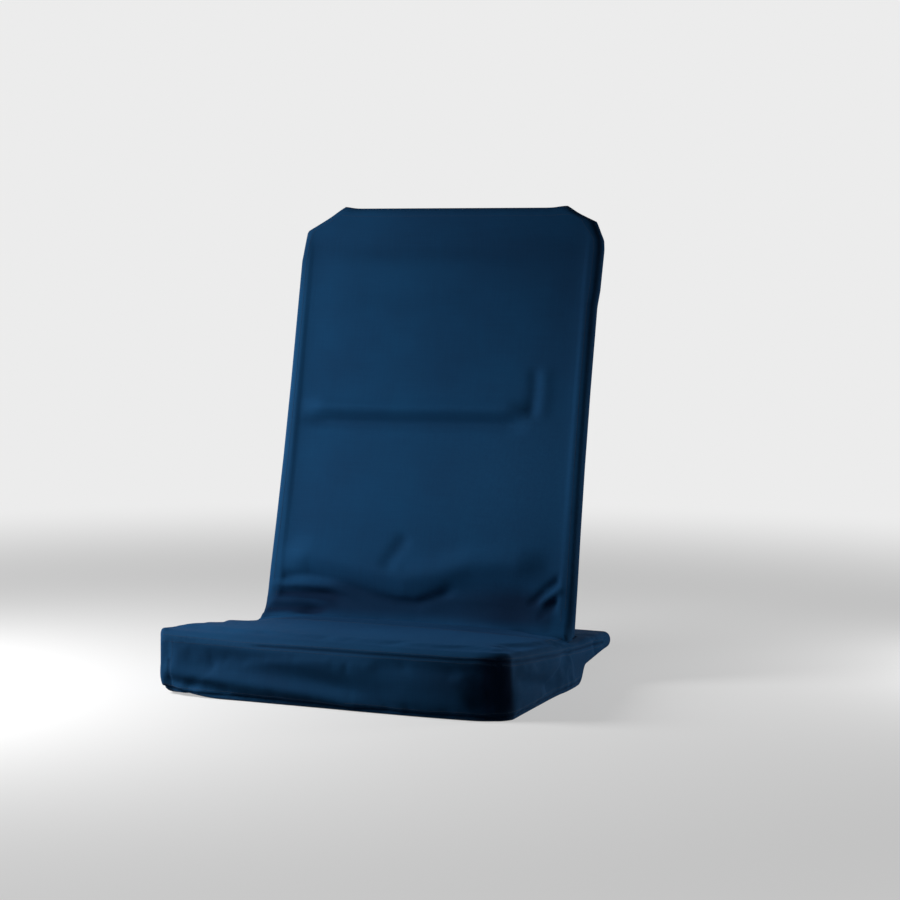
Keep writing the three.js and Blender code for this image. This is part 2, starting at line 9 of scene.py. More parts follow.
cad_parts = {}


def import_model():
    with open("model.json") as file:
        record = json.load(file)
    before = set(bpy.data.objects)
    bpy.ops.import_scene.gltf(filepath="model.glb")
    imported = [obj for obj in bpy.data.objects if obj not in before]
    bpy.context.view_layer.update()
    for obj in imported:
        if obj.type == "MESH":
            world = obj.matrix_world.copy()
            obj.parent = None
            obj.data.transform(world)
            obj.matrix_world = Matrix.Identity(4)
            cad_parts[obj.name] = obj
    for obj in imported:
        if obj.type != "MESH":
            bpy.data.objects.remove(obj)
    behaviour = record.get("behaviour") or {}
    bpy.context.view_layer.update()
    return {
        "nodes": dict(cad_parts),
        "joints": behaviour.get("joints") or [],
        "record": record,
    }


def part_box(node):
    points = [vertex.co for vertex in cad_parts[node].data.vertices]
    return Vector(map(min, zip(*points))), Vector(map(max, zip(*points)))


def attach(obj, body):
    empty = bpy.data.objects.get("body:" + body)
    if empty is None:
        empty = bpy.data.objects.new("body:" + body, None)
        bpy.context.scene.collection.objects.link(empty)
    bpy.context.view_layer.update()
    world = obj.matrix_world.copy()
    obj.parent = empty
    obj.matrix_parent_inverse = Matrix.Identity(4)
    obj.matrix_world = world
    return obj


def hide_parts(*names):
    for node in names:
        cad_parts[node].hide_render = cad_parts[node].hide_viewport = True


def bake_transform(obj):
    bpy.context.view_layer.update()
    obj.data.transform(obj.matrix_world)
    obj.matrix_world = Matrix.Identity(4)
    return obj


# Folding floor chair: a wedge cushion in navy cotton duck with a sleeved tube back.
# Metres, +Z up, and the front is at -Y. Tables that say so are in millimetres.

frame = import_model()
scene = bpy.context.scene
scene.view_settings.view_transform = "Standard"
nodes = frame["nodes"]
pivot = Vector(frame["joints"][0]["pos_m"])
print("frame loaded, hinge line at", [round(v, 4) for v in pivot])


def give(thing, settings):
    for name, value in settings.items():
        setattr(thing, name, value)


def linked(name, data):
    # An object of some data, in the scene
    made = bpy.data.objects.new(name, data)
    scene.collection.objects.link(made)
    return made


# Camera

view = {
    "place": (1.2304, -2.8046, 0.5825),
    "azimuth": 22.246,
    "dip": 4.803,
    "roll": 0.305,
    "lens": 87.74,
    "film": 36.0,
}


def makeCamera():
    data = bpy.data.cameras.new("photoView")
    give(data, {"sensor_width": view["film"], "lens": view["lens"]})
    camera = linked("photoView", data)
    turn = Matrix.Rotation(math.radians(view["azimuth"]), 3, "Z")
    tip = Matrix.Rotation(math.radians(90 - view["dip"]), 3, "X")
    roll = Matrix.Rotation(math.radians(view["roll"]), 3, "Z")
    camera.rotation_euler = (turn @ tip @ roll).to_euler()
    camera.location = view["place"]
    scene.camera = camera


makeCamera()


# Node trees


class Wire:
    # One output of a node, so that sums can be written on it

    def __init__(self, graph, socket):
        self.graph = graph
        self.socket = socket

    def maths(self, operation, first, second=0.0):
        return self.graph.node("ShaderNodeMath", {"operation": operation}, {0: first, 1: second})

    def __add__(self, other):
        return self.maths("ADD", self, other)

    def __sub__(self, other):
        return self.maths("SUBTRACT", self, other)

    def __rsub__(self, other):
        return self.maths("SUBTRACT", other, self)

    def __mul__(self, other):
        return self.maths("MULTIPLY", self, other)

    def sine(self):
        return self.maths("SINE", self)

    def size(self):
        return self.maths("ABSOLUTE", self)

    def most(self, other):
        return self.maths("MAXIMUM", self, other)

    __radd__ = __add__


class Graph:
    # A node tree under construction

    def __init__(self, tree):
        self.tree = tree
        tree.nodes.clear()

    def node(self, kind, settings=None, sockets=None, output=0):
        # Adds a node, and gives the output asked for or a list of them all
        made = self.tree.nodes.new(kind)
        give(made, settings or {})
        for key, value in (sockets or {}).items():
            if isinstance(value, Wire):
                self.tree.links.new(value.socket, made.inputs[key])
            else:
                made.inputs[key].default_value = value
        if output is None:
            return [Wire(self, socket) for socket in made.outputs]
        return Wire(self, made.outputs[output])

    def place(self):
        return self.node("ShaderNodeTexCoord", output="Object")

    def pick(self, factor, first, second):
        return self.node("ShaderNodeMixShader", {}, {0: factor, 1: first, 2: second})

    def seenRays(self):
        # 1 where a ray comes from the camera, or through gloss or glass
        names = ("Is Camera Ray", "Is Glossy Ray", "Is Transmission Ray")
        camera, gloss, glass = [self.node("ShaderNodeLightPath", output=name) for name in names]
        return camera.most(gloss).most(glass)


class Finish(Graph):
    # A material under construction: one shader, and the nodes that feed it

    def __init__(self, name, **constants):
        self.material = bpy.data.materials.new(name)
        self.material.use_nodes = True
        super().__init__(self.material.node_tree)
        self.surface = self.tree.nodes.new("ShaderNodeBsdfPrincipled")
        self.node("ShaderNodeOutputMaterial", {}, {0: Wire(self, self.surface.outputs[0])}, None)
        for socket, value in constants.items():
            self.surface.inputs[socket.replace("_", " ")].default_value = value

    def finished(self, colour, roughness, height, strength, distance):
        # Feeds the shader its colour, its roughness and the bumps of a height
        sockets = {"Height": height, "Strength": strength, "Distance": distance}
        bump = self.node("ShaderNodeBump", {}, sockets)
        for name, wire in (("Base Color", colour), ("Roughness", roughness), ("Normal", bump)):
            self.tree.links.new(wire.socket, self.surface.inputs[name])
        return self.material

    def colours(self, factor, first, second):
        sockets = {0: factor, 6: first, 7: second}
        return self.node("ShaderNodeMix", {"data_type": "RGBA"}, sockets, 2)

    def noise(self, scale, detail=3.0, where=None):
        sockets = {"Vector": where or self.place(), "Scale": scale, "Detail": detail, "Roughness": 0.55}
        return self.node("ShaderNodeTexNoise", {"noise_dimensions": "3D"}, sockets)

    def cells(self, scale):
        return self.node("ShaderNodeTexVoronoi", {}, {"Vector": self.place(), "Scale": scale})

    def axes(self, where):
        return self.node("ShaderNodeSeparateXYZ", {}, {0: where}, None)

    def stretch(self, where, scale):
        return self.node("ShaderNodeMapping", {}, {"Vector": where, "Scale": scale})

    def attribute(self, name):
        return self.node("ShaderNodeAttribute", {"attribute_name": name}, output=2)  # 2 is its single number

    def ramp(self, value, start, end):
        # 0 up to the start, then a straight rise to 1 at the end
        wire = self.node("ShaderNodeValToRGB", {}, {0: value})
        first, last = wire.socket.node.color_ramp.elements
        first.position = start
        last.position = end
        return wire


def written(red, green, blue):
    # A colour given as it shows on screen, from 0 to 255, in the linear values that a shader takes
    shades = [v / 255 for v in (red, green, blue)]
    linear = [v / 12.92 if v < 0.04045 else ((v + 0.055) / 1.055) ** 2.4 for v in shades]
    return (*linear, 1.0)


# Finishes

# deep is the colour of painted shade, and the pale wear colour is also used for painted highlights
duck = {
    "dark": written(8, 42, 73), "light": written(17, 64, 101), "paleWearAndHighlight": written(32, 84, 128),
    "deep": written(3, 25, 50), "fuzz": written(50, 115, 190),
    "yarnPitch": 0.00085, "slubScale": 14.0, "slubLength": 60, "roughness": 0.82, "bumpDepth": 0.00035,
}


def duckFinish():
    made = Finish("navyDuck", Specular_IOR_Level=0.07, Sheen_Weight=0.05, Sheen_Roughness=0.4,
                  Sheen_Tint=duck["fuzz"])
    where = made.node("ShaderNodeUVMap", {"uv_map": "panel"})
    beat = math.pi / duck["yarnPitch"]
    warp, weft = [(axis * beat).sine() for axis in made.axes(where)[:2]]
    over = made.ramp(warp * weft * 0.5 + 0.5, 0.35, 0.65)
    weave = (warp.size() * over).most(weft.size() * (1 - over))
    ways = [(1, duck["slubLength"], 1), (duck["slubLength"], 1, 1)]
    across, along = [made.noise(duck["slubScale"], 2.0, made.stretch(where, way)) for way in ways]
    slub = across * 0.5 + along * 0.5
    cloud = made.noise(9.0, 4.0)
    patch = made.noise(3.1, 2.0)
    fuzz = made.noise(260.0)
    shade = cloud * 0.5 + slub * 0.45 + patch * 0.35 + weave * 0.12 - 0.2
    faded = made.colours(made.ramp(shade, 0.2, 0.8), duck["dark"], duck["light"])
    # Painted shade: darker towards the deep colour where an attribute marks grooves, folds, hollows and
    # shaded ends
    tone = made.colours(made.attribute("deep") * (cloud * 0.4 + 0.8), faded, duck["deep"])
    # Towards the pale colour: wear on seam shoulders and where the boxing drags, and painted highlights on
    # the back cover
    colour = made.colours(made.attribute("rub") * (fuzz * 0.9 + 0.1), tone, duck["paleWearAndHighlight"])
    rough = duck["roughness"] + cloud * 0.14 - weave * 0.06
    return made.finished(colour, rough, weave * 0.75 + slub * 0.4 + fuzz * 0.25, 0.35, duck["bumpDepth"])


def threadFinish():
    made = Finish("tonalThread", Specular_IOR_Level=0.35)
    x, y, z = made.axes(made.place())
    ply = ((x + y + z) * 5200.0).sine()
    colour = made.colours(ply * 0.5 + 0.5, written(6, 30, 54), written(15, 48, 80))
    return made.finished(colour, 0.55 + made.noise(300.0) * 0.2, ply, 0.4, 0.0001)


def powderFinish():
    made = Finish("blackPowderCoat", Specular_IOR_Level=0.5)
    orange = made.noise(900.0, 2.0)
    scuff = made.ramp(made.noise(60.0, 5.0, made.stretch(made.place(), (1, 1, 6))), 0.6, 0.72)
    colour = made.colours(scuff * 0.5, written(27, 28, 31), written(66, 67, 70))
    return made.finished(colour, 0.42 + orange * 0.12 + scuff * 0.15, orange, 0.25, 0.0002)


def zincFinish():
    made = Finish("brightZinc", Metallic=1.0)
    cloud = made.noise(220.0, 4.0)
    brush = made.noise(300.0, 2.0, made.stretch(made.place(), (1, 14, 14)))
    colour = made.colours(cloud, written(168, 172, 176), written(206, 207, 204))
    return made.finished(colour, 0.24 + cloud * 0.16 + brush * 0.1, brush, 0.2, 0.00008)


def mouldedFinish(name, dark, light, roughness):
    made = Finish(name, Specular_IOR_Level=0.45)
    grain = made.noise(1500.0, 2.0)
    colour = made.colours(made.noise(60.0), dark, light)
    return made.finished(colour, roughness + grain * 0.14, grain, 0.3, 0.0001)


def foamFinish():
    made = Finish("openCellFoam", Specular_IOR_Level=0.2)
    cloud = made.noise(12.0)
    colour = made.colours(cloud, written(205, 190, 136), written(228, 217, 170))
    return made.finished(colour, 0.9 + cloud * 0.08, made.cells(900.0), 0.6, 0.0006)


def tapeFinish():
    made = Finish("wovenFasteningTape", Specular_IOR_Level=0.3, Sheen_Weight=0.2)
    loops = made.cells(1300.0)
    weave = (made.axes(made.place())[0] * 3100.0).sine()
    colour = made.colours(loops, written(10, 14, 22), written(32, 42, 62))
    return made.finished(colour, 0.75 + loops * 0.2, loops + weave * 0.3, 0.7, 0.0005)


finishes = {
    "navy_duck": duckFinish(),
    "thread": threadFinish(),
    "black_steel": powderFinish(),
    "zinc_steel": zincFinish(),
    "nylon": mouldedFinish("naturalNylon", written(222, 219, 208), written(236, 234, 226), 0.38),
    "black_plastic": mouldedFinish("blackMoulding", written(22, 23, 25), written(34, 35, 38), 0.4),
    "foam": foamFinish(),
    "fastening_tape": tapeFinish(),
}
print("finishes made")


# Studio: pale floor, two soft lamps and a quiet room light

studio = {
    "pale": written(236, 236, 236), "floorBounce": written(88, 88, 90), "room": 0.010,
    "nearFloor": 0.9, "farFloor": 2.4, "leastGlow": 0.55, "floorReach": 30.0,
    "aim": (0.1, 0.0, 0.0),
    "lamps": {  # Place, size and power of each
        "keyLamp": ((-0.85, -0.50, 0.62), 0.50, 16.2),
        "sideLamp": ((1.00, 0.50, 0.26), 0.4, 3.9),
    },
}


def softLamp(name, place, size, power):
    data = bpy.data.lights.new(name, "AREA")
    give(data, {"shape": "DISK", "size": size, "energy": power})
    lamp = linked(name, data)
    lamp.location = place
    lamp.rotation_euler = (Vector(studio["aim"]) - Vector(place)).to_track_quat("-Z", "Y").to_euler()


def makeRoom():
    world = bpy.data.worlds.new("studioRoom")
    world.use_nodes = True
    graph = Graph(world.node_tree)
    quiet = graph.node("ShaderNodeBackground", {}, {"Color": (1, 1, 1, 1), "Strength": studio["room"]})
    shown = graph.node("ShaderNodeBackground", {}, {"Color": studio["pale"]})
    seen = graph.pick(graph.seenRays(), quiet, shown)
    graph.node("ShaderNodeOutputWorld", {}, {"Surface": seen}, None)
    scene.world = world


def floorFinish():
    # Lit near the chair, plain pale far away, and dimmer for the light that it throws back
    made = bpy.data.materials.new("paleFloor")
    made.use_nodes = True
    graph = Graph(made.node_tree)
    lit = graph.node("ShaderNodeBsdfDiffuse", {}, {"Color": studio["pale"]})
    glow = graph.node("ShaderNodeEmission", {}, {"Color": studio["pale"]})
    bounce = graph.node("ShaderNodeBsdfDiffuse", {}, {"Color": studio["floorBounce"]})
    reach = graph.node("ShaderNodeVectorMath", {"operation": "LENGTH"}, {0: graph.place()}, "Value")
    ends = {"From Min": studio["nearFloor"], "From Max": studio["farFloor"], "To Min": studio["leastGlow"]}
    fade = graph.node("ShaderNodeMapRange", {"interpolation_type": "SMOOTHSTEP"}, {"Value": reach, **ends})
    seen = graph.pick(graph.seenRays(), bounce, graph.pick(fade, lit, glow))
    graph.node("ShaderNodeOutputMaterial", {}, {"Surface": seen}, None)
    return made


def makeFloor():
    reach = studio["floorReach"]
    mesh = bpy.data.meshes.new("studioFloor")
    corners = [(-reach, -reach, 0), (reach, -reach, 0), (reach, reach, 0), (-reach, reach, 0)]
    mesh.from_pydata(corners, [], [(0, 1, 2, 3)])
    mesh.materials.append(floorFinish())
    floor = linked("studioFloor", mesh)


makeRoom()
makeFloor()
for name, settings in studio["lamps"].items():
    softLamp(name, *settings)
print("studio made")


# Mesh tools


def clothObject(name, points, faces, panelUv):
    mesh = bpy.data.meshes.new(name)
    mesh.from_pydata([tuple(p) for p in points], [], [tuple(f) for f in faces])
    layer = mesh.uv_layers.new(name="panel")
    layer.data.foreach_set("uv", np.asarray(panelUv, float).ravel())
    mesh.materials.append(finishes["navy_duck"])
    mesh.polygons.foreach_set("use_smooth", [True] * len(mesh.polygons))
    mesh.update()
    return linked(name, mesh)


def readField(items, field):
    flat = np.zeros(len(items) * 3)
    items.foreach_get(field, flat)
    return flat.reshape(-1, 3)


def pointsOf(thing):
    return readField(thing.data.vertices, "co")


def normalsOf(thing):
    return readField(thing.data.vertex_normals, "vector")


def setPoints(thing, points):
    thing.data.vertices.foreach_set("co", np.asarray(points, float).ravel())
    thing.data.update()


def setShade(thing, name, values):
    layer = thing.data.attributes.new(name, "FLOAT", "POINT")
    layer.data.foreach_set("value", np.asarray(values, np.float32))


def applyModifiers(thing):
    graph = bpy.context.evaluated_depsgraph_get()
    graph.update()
    shown = thing.evaluated_get(graph)
    mesh = bpy.data.meshes.new_from_object(shown, preserve_all_data_layers=True, depsgraph=graph)
    thing.modifiers.clear()
    old = thing.data
    thing.data = mesh
    bpy.data.meshes.remove(old)
    return thing


def modify(thing, kind, **settings):
    give(thing.modifiers.new(kind.lower(), kind), settings)
    return applyModifiers(thing)


def shapeTree(thing):
    mesh = thing.data
    mesh.calc_loop_triangles()
    return BVHTree.FromPolygons([v.co for v in mesh.vertices], [p.vertices for p in mesh.polygons])


def onSurface(tree, line, lift=0.00015):
    # The line's points moved to the nearest place on a surface, just above it
    spots = [tree.find_nearest(Vector(point)) for point in line]
    return [spot[0] + spot[1] * lift for spot in spots]


def smooth(value):
    held = np.clip(value, 0, 1)
    return held * held * (3 - 2 * held)


def after(value, start, width):
    # 0 up to the start, then a soft step up to 1 over the width
    return smooth((value - start) / width)


def before(value, end, width):
    # 1 until a width before the end, then a soft step down to 0
    return smooth((end - value) / width)


def bell(value, middle, width):
    return np.exp(-(((value - middle) / width) ** 2))


def mixed(low, high, share):
    return low + (high - low) * share


def inMillimetres(*pairs):
    # A table of places and values, in metres
    return np.array(pairs).T / 1000


def alongLine(places, line):
    # For each place: how far it is from a line of points, and its share along the line
    line = np.asarray(line, float)
    runs = np.linalg.norm(np.diff(line, axis=0), axis=1)
    starts = np.concatenate([[0], np.cumsum(runs)])
    best = np.full(len(places), np.inf)
    share = np.zeros(len(places))
    for first, last, start, length in zip(line, line[1:], starts, runs):
        step = (last - first) / length
        t = np.clip((places - first) @ step, 0, length)
        gap = np.linalg.norm(places - first - t[:, None] * step, axis=1)
        near = gap < best
        best[near] = gap[near]
        share[near] = ((start + t) / starts[-1])[near]
    return best, share


def foldHeight(places, folds):
    # The sum of soft folds, each given in millimetres: how far it stands out, its half width, or one at
    # each end, and the points it follows; then the share of its length over which its ends fade
    total = np.zeros(len(places))
    for height, width, line, *fade in folds:
        gap, share = alongLine(places, np.array(line) / 1000)
        fade = fade[0] if fade else 0.25
        ends = after(share, 0, fade) * before(share, 1, fade)
        low, high = width if isinstance(width, tuple) else (width, width)
        total += height / 1000 * bell(gap, 0, mixed(low, high, share) / 1000) * ends
    return total


# Seat cushion

seatLow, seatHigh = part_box("seat_cover")
barLow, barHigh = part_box("seat_rear_bar")
railHeight = (barLow.z + barHigh.z) / 2
rearBarY = (barLow.y + barHigh.y) / 2

cushion = {
    "half": seatHigh.x + 0.0040, "front": seatLow.y - 0.0130, "rear": seatHigh.y + 0.0025,
    "cells": (96, 84, 18), "fineCells": 4, "fineReach": 0.012, "boxing": 0.084,
    "frontHeight": 0.0905, "hingeHeight": 0.0610, "crown": 0.0050, "sideDraw": 0.0015,
    "frontEdge": 0.0145, "frontSoft": 0.008, "leftEdge": 0.0065, "rightEdge": 0.0100,
    "lowEdge": 0.0026, "softFoot": 0.025, "rearFoot": 0.012,
    "leftCorner": 0.012, "rightCorner": 0.048, "rightDepth": 0.030, "rearCorner": 0.012,
    "noseRadius": seatHigh.y - rearBarY + 0.001, "noseSide": 0.010,
    "flatEnd": 0.0690, "slopeStart": 0.0880, "slopeRise": 0.018, "soften": 0.006,
    "rightBow": 0.0090, "hingeDip": 0.0056, "leftPuff": 0.0016, "leftLift": 0.0046,
    "footSpread": 0.0015, "footBulge": 0.0030,
    "swell": 0.0030, "leastHold": 0.03, "frames": 20,
    "grooveWidth": 0.0022, "grooveDepth": 0.0014, "shoulder": 0.006,
    "seamDrop": 0.0125, "seamFoot": 0.006, "cornerSeam": 0.0205,
}
# Folds of the cover in millimetres, as foldHeight reads them
cushionFolds = [
    (-4.8, (24, 10), [(-250, -228, 60), (-195, -228, 57), (-130, -228, 50.5), (-35, -228, 38.5),
                      (50, -228, 28), (100, -228, 21)]),
    (5, 8.5, [(-250, -228, 33), (-195, -228, 30), (-130, -228, 27.5), (-35, -228, 20.5),
              (50, -228, 13.5), (100, -228, 8)]),
    (-4.2, 6, [(-252, -228, 21), (-195, -228, 19), (-165, -228, 17), (-130, -228, 10)], 0.15),
    (-3.6, 12, [(-170, -228, 10), (-120, -228, 3), (-50, -228, -2), (50, -228, -4)]),
    (-4.6, (10, 16), [(50, -228, 64), (150, -228, 62), (200, -228, 60), (235, -228, 58)]),
    (3, 16, [(80, -228, 22), (150, -228, 18), (230, -228, 14)]),
    (-3.4, 24, [(224, -222, 80), (222, -222, 45), (220, -222, 8)], 0.2),
    (-5.8, 7.5, [(254, -200, 48), (254, -150, 42), (254, -90, 30), (254, -30, 11)]),
    (4, 12, [(254, -180, 64), (254, -80, 54), (254, 20, 36)]),
    (-2, 8, [(254, 0, 58), (254, 90, 46), (254, 170, 44)]),
    (-3, 10, [(-254, -180, 50), (-254, -60, 42), (-254, 40, 30)]),
    (-2.2, 7, [(-254, -140, 26), (-254, -30, 22), (-254, 50, 14)]),
    (-2, 16, [(-180, 140, 58), (-20, 135, 58), (160, 142, 58)]),
    (-5, 28, [(-232, -75, 79), (-226, -20, 74), (-216, 20, 70), (-212, 60, 66)]),
]
# How Blender's Cloth treats the cover: it holds the seams in and lets the rest swell
clothRules = {
    "quality": 6, "mass": 0.35, "tension_stiffness": 18, "compression_stiffness": 18,
    "shear_stiffness": 8, "bending_stiffness": 0.9, "use_pressure": True, "uniform_pressure_force": 2.0,
    "pin_stiffness": 1.0, "shrink_min": -0.012, "shrink_max": 0.018,
}


def seatTop(y):
    places = [cushion["front"], pivot.y, rearBarY]
    heights = [cushion["frontHeight"], cushion["hingeHeight"], railHeight + cushion["noseRadius"]]
    return np.interp(y, places, heights)


def seatUnder(y):
    places = [cushion["flatEnd"], cushion["slopeStart"], rearBarY]
    heights = [0.0, cushion["slopeRise"], railHeight - cushion["noseRadius"]]
    spread = np.linspace(-1, 1, 5) * cushion["soften"]
    return np.mean([np.interp(y + d, places, heights) for d in spread], axis=0)


def seatHalfAt(y):
    return (seatTop(y) - seatUnder(y)) / 2


def shares(count, length):
    # Steps from 0 to 1 that are finer near both ends
    fine = np.linspace(0, cushion["fineReach"] / length, cushion["fineCells"] + 1)
    middle = np.linspace(fine[-1], 1 - fine[-1], count - 2 * cushion["fineCells"] + 1)
    return np.concatenate([fine[:-1], middle, 1 - fine[:-1][::-1]])


def boxSkin(across, deep, high):
    # The grid places on a box's skin, its quads, and the side that each quad is on
    places = {}
    quads = []
    sides = []
    faces = {
        "top": (deep, across, lambda r, c: (c, r, high)),
        "under": (deep, across, lambda r, c: (c, r, 0)),
        "front": (high, across, lambda r, c: (c, 0, r)),
        "rear": (high, across, lambda r, c: (c, deep, r)),
        "right": (high, deep, lambda r, c: (across, c, r)),
        "left": (high, deep, lambda r, c: (0, c, r)),
    }
    for side, (rows, columns, place) in faces.items():
        for r, c in np.ndindex(rows, columns):
            corners = [place(r, c), place(r, c + 1), place(r + 1, c + 1), place(r + 1, c)]
            ring = [places.setdefault(corner, len(places)) for corner in corners]
            quads.append(ring[::-1] if side in ("under", "rear", "left") else ring)
            sides.append(side)
    return np.array(list(places), float), quads, sides


def roundPlan(x, y):
    # The plan's four corners made round, how far in each place is, and which way it faces
    half, front, rear = cushion["half"], cushion["front"], cushion["rear"]
    atFront = y < (front + rear) / 2
    wideFront = np.where(x > 0, cushion["rightCorner"], cushion["leftCorner"])
    wide = np.where(atFront, wideFront, cushion["rearCorner"])
    deep = np.where(atFront & (x > 0), cushion["rightDepth"], wide)
    besideX = (np.abs(x) - half) / wide + 1
    besideY = np.where(atFront, front - y, y - rear) / deep + 1
    inCorner = (besideX > 0) & (besideY > 0)
    length = np.maximum(np.hypot(besideX, besideY), 1e-9)
    pull = np.where(inCorner, np.maximum(besideX, besideY) / length, 1.0)
    lean = np.maximum(np.hypot(besideX / wide, besideY / deep), 1e-9)
    toFace = np.minimum((1 - besideX) * wide, (1 - besideY) * deep)
    mean = (wide * besideX ** 2 + deep * besideY ** 2) / length ** 2
    inset = np.where(inCorner, (1 - np.maximum(besideX, besideY)) * mean, toFace)
    nearX = (1 - besideX) * wide <= (1 - besideY) * deep
    faceX = np.where(inCorner, besideX / wide / lean, nearX) * np.sign(x)
    faceY = np.where(inCorner, besideY / deep / lean, ~nearX) * np.where(atFront, -1, 1)
    newX = np.where(inCorner, (half - wide * (1 - besideX * pull)) * np.sign(x), x)
    cornerY = deep * (1 - besideY * pull)
    newY = np.where(inCorner, np.where(atFront, front + cornerY, rear - cornerY), y)
    return newX, newY, inset, faceX, faceY


def cushionForm(grid):
    half, front, rear = cushion["half"], cushion["front"], cushion["rear"]
    counts = cushion["cells"]
    lengths = (2 * half, rear - front, cushion["boxing"])
    share = [np.interp(grid[:, a], np.arange(counts[a] + 1), shares(counts[a], lengths[a])) for a in range(3)]
    x, y, inset, faceX, faceY = roundPlan((share[0] * 2 - 1) * half, front + share[1] * (rear - front))
    tall = seatHalfAt(y)
    z = (share[2] * 2 - 1) * tall
    upper = smooth(share[2] * 2 - 0.5)
    nose = after(y - rear, -0.05, 0.04)
    sideEdge = np.where(x > 0, cushion["rightEdge"], cushion["leftEdge"])
    frontEdge = cushion["frontEdge"] + cushion["frontSoft"] * bell(x, -0.13, 0.08)
    topEdge = mixed(sideEdge, frontEdge, np.clip(-faceY, 0, 1) ** 2)
    lowEdge = mixed(cushion["lowEdge"], cushion["rearFoot"], after(y, 0.075, 0.03))
    leftFoot = smooth(1.4 - np.hypot(x + half, y - front) / 0.032)
    edge = mixed(mixed(lowEdge, cushion["softFoot"], leftFoot), topEdge, upper)
    reach = mixed(edge, mixed(cushion["noseSide"], cushion["noseRadius"], faceY ** 2), nose)
    rise = mixed(np.minimum(edge, tall), tall, nose)
    near = (reach - inset) / reach
    high = (rise - tall + np.abs(z)) / rise
    onEdge = (near > 0) & (high > 0)
    pull = np.where(onEdge, np.maximum(near, high) / np.maximum(np.hypot(near, high), 1e-9), 1.0)
    inward = np.where(onEdge, near * reach * (1 - pull), 0.0)
    x = x - faceX * inward
    y = y - faceY * inward
    z = np.where(onEdge, np.sign(z) * (tall - rise * (1 - high * pull)), z)
    raised = np.clip(z / seatHalfAt(y), 0, 1)
    along = np.clip(1 - (np.abs((y - front) / (rear - front) * 2 - 1)) ** 2, 0, 1)
    middle = (seatTop(y) + seatUnder(y)) / 2
    z = z + middle + cushion["crown"] * (1 - np.abs(x / half) ** 3) * along * raised
    x = x * (1 - cushion["sideDraw"] / half * along)
    return useMarks(x, y, z, raised)


def useMarks(x, y, z, raised):
    # What a person's use leaves: a puffed front left, sides that dip at the hinges and a foot that spreads
    front = cushion["front"]
    outer = after(np.abs(x), 0.212, 0.042)
    z = z - raised * outer * cushion["hingeDip"] * after(y, -0.045, 0.06) * before(y, 0.125, 0.05)
    z = z + raised * cushion["leftPuff"] * bell(x, -cushion["half"], 0.05) * before(y, -0.05, 0.04)
    spread = cushion["footSpread"] + cushion["footBulge"] * bell(y, 0.025, 0.035)
    x = x + spread * bell(z, 0.004, 0.02) * after(x, 0.22, 0.03)
    bow = np.clip((x - 0.08) / 0.17, 0, 1) ** 2
    y = y + cushion["rightBow"] * bow * before(y, front + 0.06, 0.05)
    lifted = bell(x, -0.207, 0.026) * before(y, front + 0.09, 0.07)
    z = z + cushion["leftLift"] * lifted * before(z, 0.03, 0.03)
    return np.stack([x, y, z], axis=1)


def panelPlaces(points, quads, sides):
    # Where each corner of each quad lies on its own flat panel of cloth
    pick = {"top": (0, 1), "under": (0, 1), "front": (0, 2), "rear": (0, 2), "right": (1, 2), "left": (1, 2)}
    return [points[corner][list(pick[side])] for quad, side in zip(quads, sides) for corner in quad]


def seamWeight(grid):
    # How near each grid place is to a seam: the edges of the boxing, which the rear has none of
    counts = np.array(cushion["cells"])
    atEnd = (grid == 0) | (grid == counts)
    atRear = (grid[:, 1] == counts[1]) & ~atEnd[:, 0]
    return ((atEnd.sum(axis=1) >= 2) & ~atRear).astype(float)


def holdWeight(points):
    # What the frame, the floor and the closure hold still while the cover settles
    x, y, z = points.T
    base = before(z - seatUnder(y), 0.006, 0.004)
    hinge = before(abs(y - pivot.y), 0.05, 0.02) * after(abs(x), 0.17, 0.03)
    return np.clip(np.maximum(np.maximum(base, after(y, 0.13, 0.05)), hinge), cushion["leastHold"], 1)


def addGroup(thing, name, weights):
    group = thing.vertex_groups.new(name=name)
    for index, weight in enumerate(weights):
        if weight > 0:
            group.add([index], float(weight), "REPLACE")
    return group.name


def settleCloth(thing, hold, seams):
    # Lets the cover swell and wrinkle, then keeps each point within a cap of where it began
    start = pointsOf(thing)
    cloth = thing.modifiers.new("settle", "CLOTH")
    give(cloth.settings, clothRules)
    cloth.settings.effector_weights.gravity = 0
    cloth.settings.vertex_group_mass = addGroup(thing, "hold", hold)
    cloth.settings.vertex_group_shrink = addGroup(thing, "seams", seams)
    cloth.collision_settings.use_collision = False
    give(cloth.point_cache, {"frame_start": 1, "frame_end": cushion["frames"]})
    for step in range(1, cushion["frames"] + 1):
        scene.frame_set(step)
    applyModifiers(thing)
    scene.frame_set(1)
    moved = pointsOf(thing) - start
    length = np.maximum(np.linalg.norm(moved, axis=1), 1e-9)
    kept = cushion["swell"] * np.tanh(length / cushion["swell"])
    setPoints(thing, start + moved * (kept / length)[:, None])
    thing.vertex_groups.clear()
    print("cover settled, largest move", round(float(length.max()) * 1000, 1), "mm")


def boxingSeams():
    # The sewn lines: round the top of the boxing, round its foot, and up its left front corner
    half, front = cushion["half"], cushion["front"]
    ends = np.linspace(0, 1, 90)
    atFront = np.full(len(ends), front)
    lines = []
    heights = (lambda y: seatTop(y) - cushion["seamDrop"], lambda y: np.full_like(y, cushion["seamFoot"]))
    for rearEnd, height in zip((0.17, 0.065), heights):
        y = mixed(rearEnd, front + 0.015, ends)
        right, left = [np.stack([np.full(len(y), x), y, height(y)], axis=1) for x in (half, -half)]
        run = np.stack([mixed(half - 0.012, -half + 0.008, ends), atFront, height(atFront)], axis=1)
        lines.append(np.concatenate([right, run, left[::-1]]))
    up = np.linspace(0.009, 0.077, 30)
    lines.append(np.stack([np.full(len(up), cushion["cornerSeam"] - half), atFront[:len(up)], up], axis=1))
    return lines


def nearLines(points, lines, reach):
    # How near each point is to any of the lines, 1 on the line and 0 far beyond the reach
    return np.max([bell(alongLine(points, line)[0], 0, reach) for line in lines], axis=0)


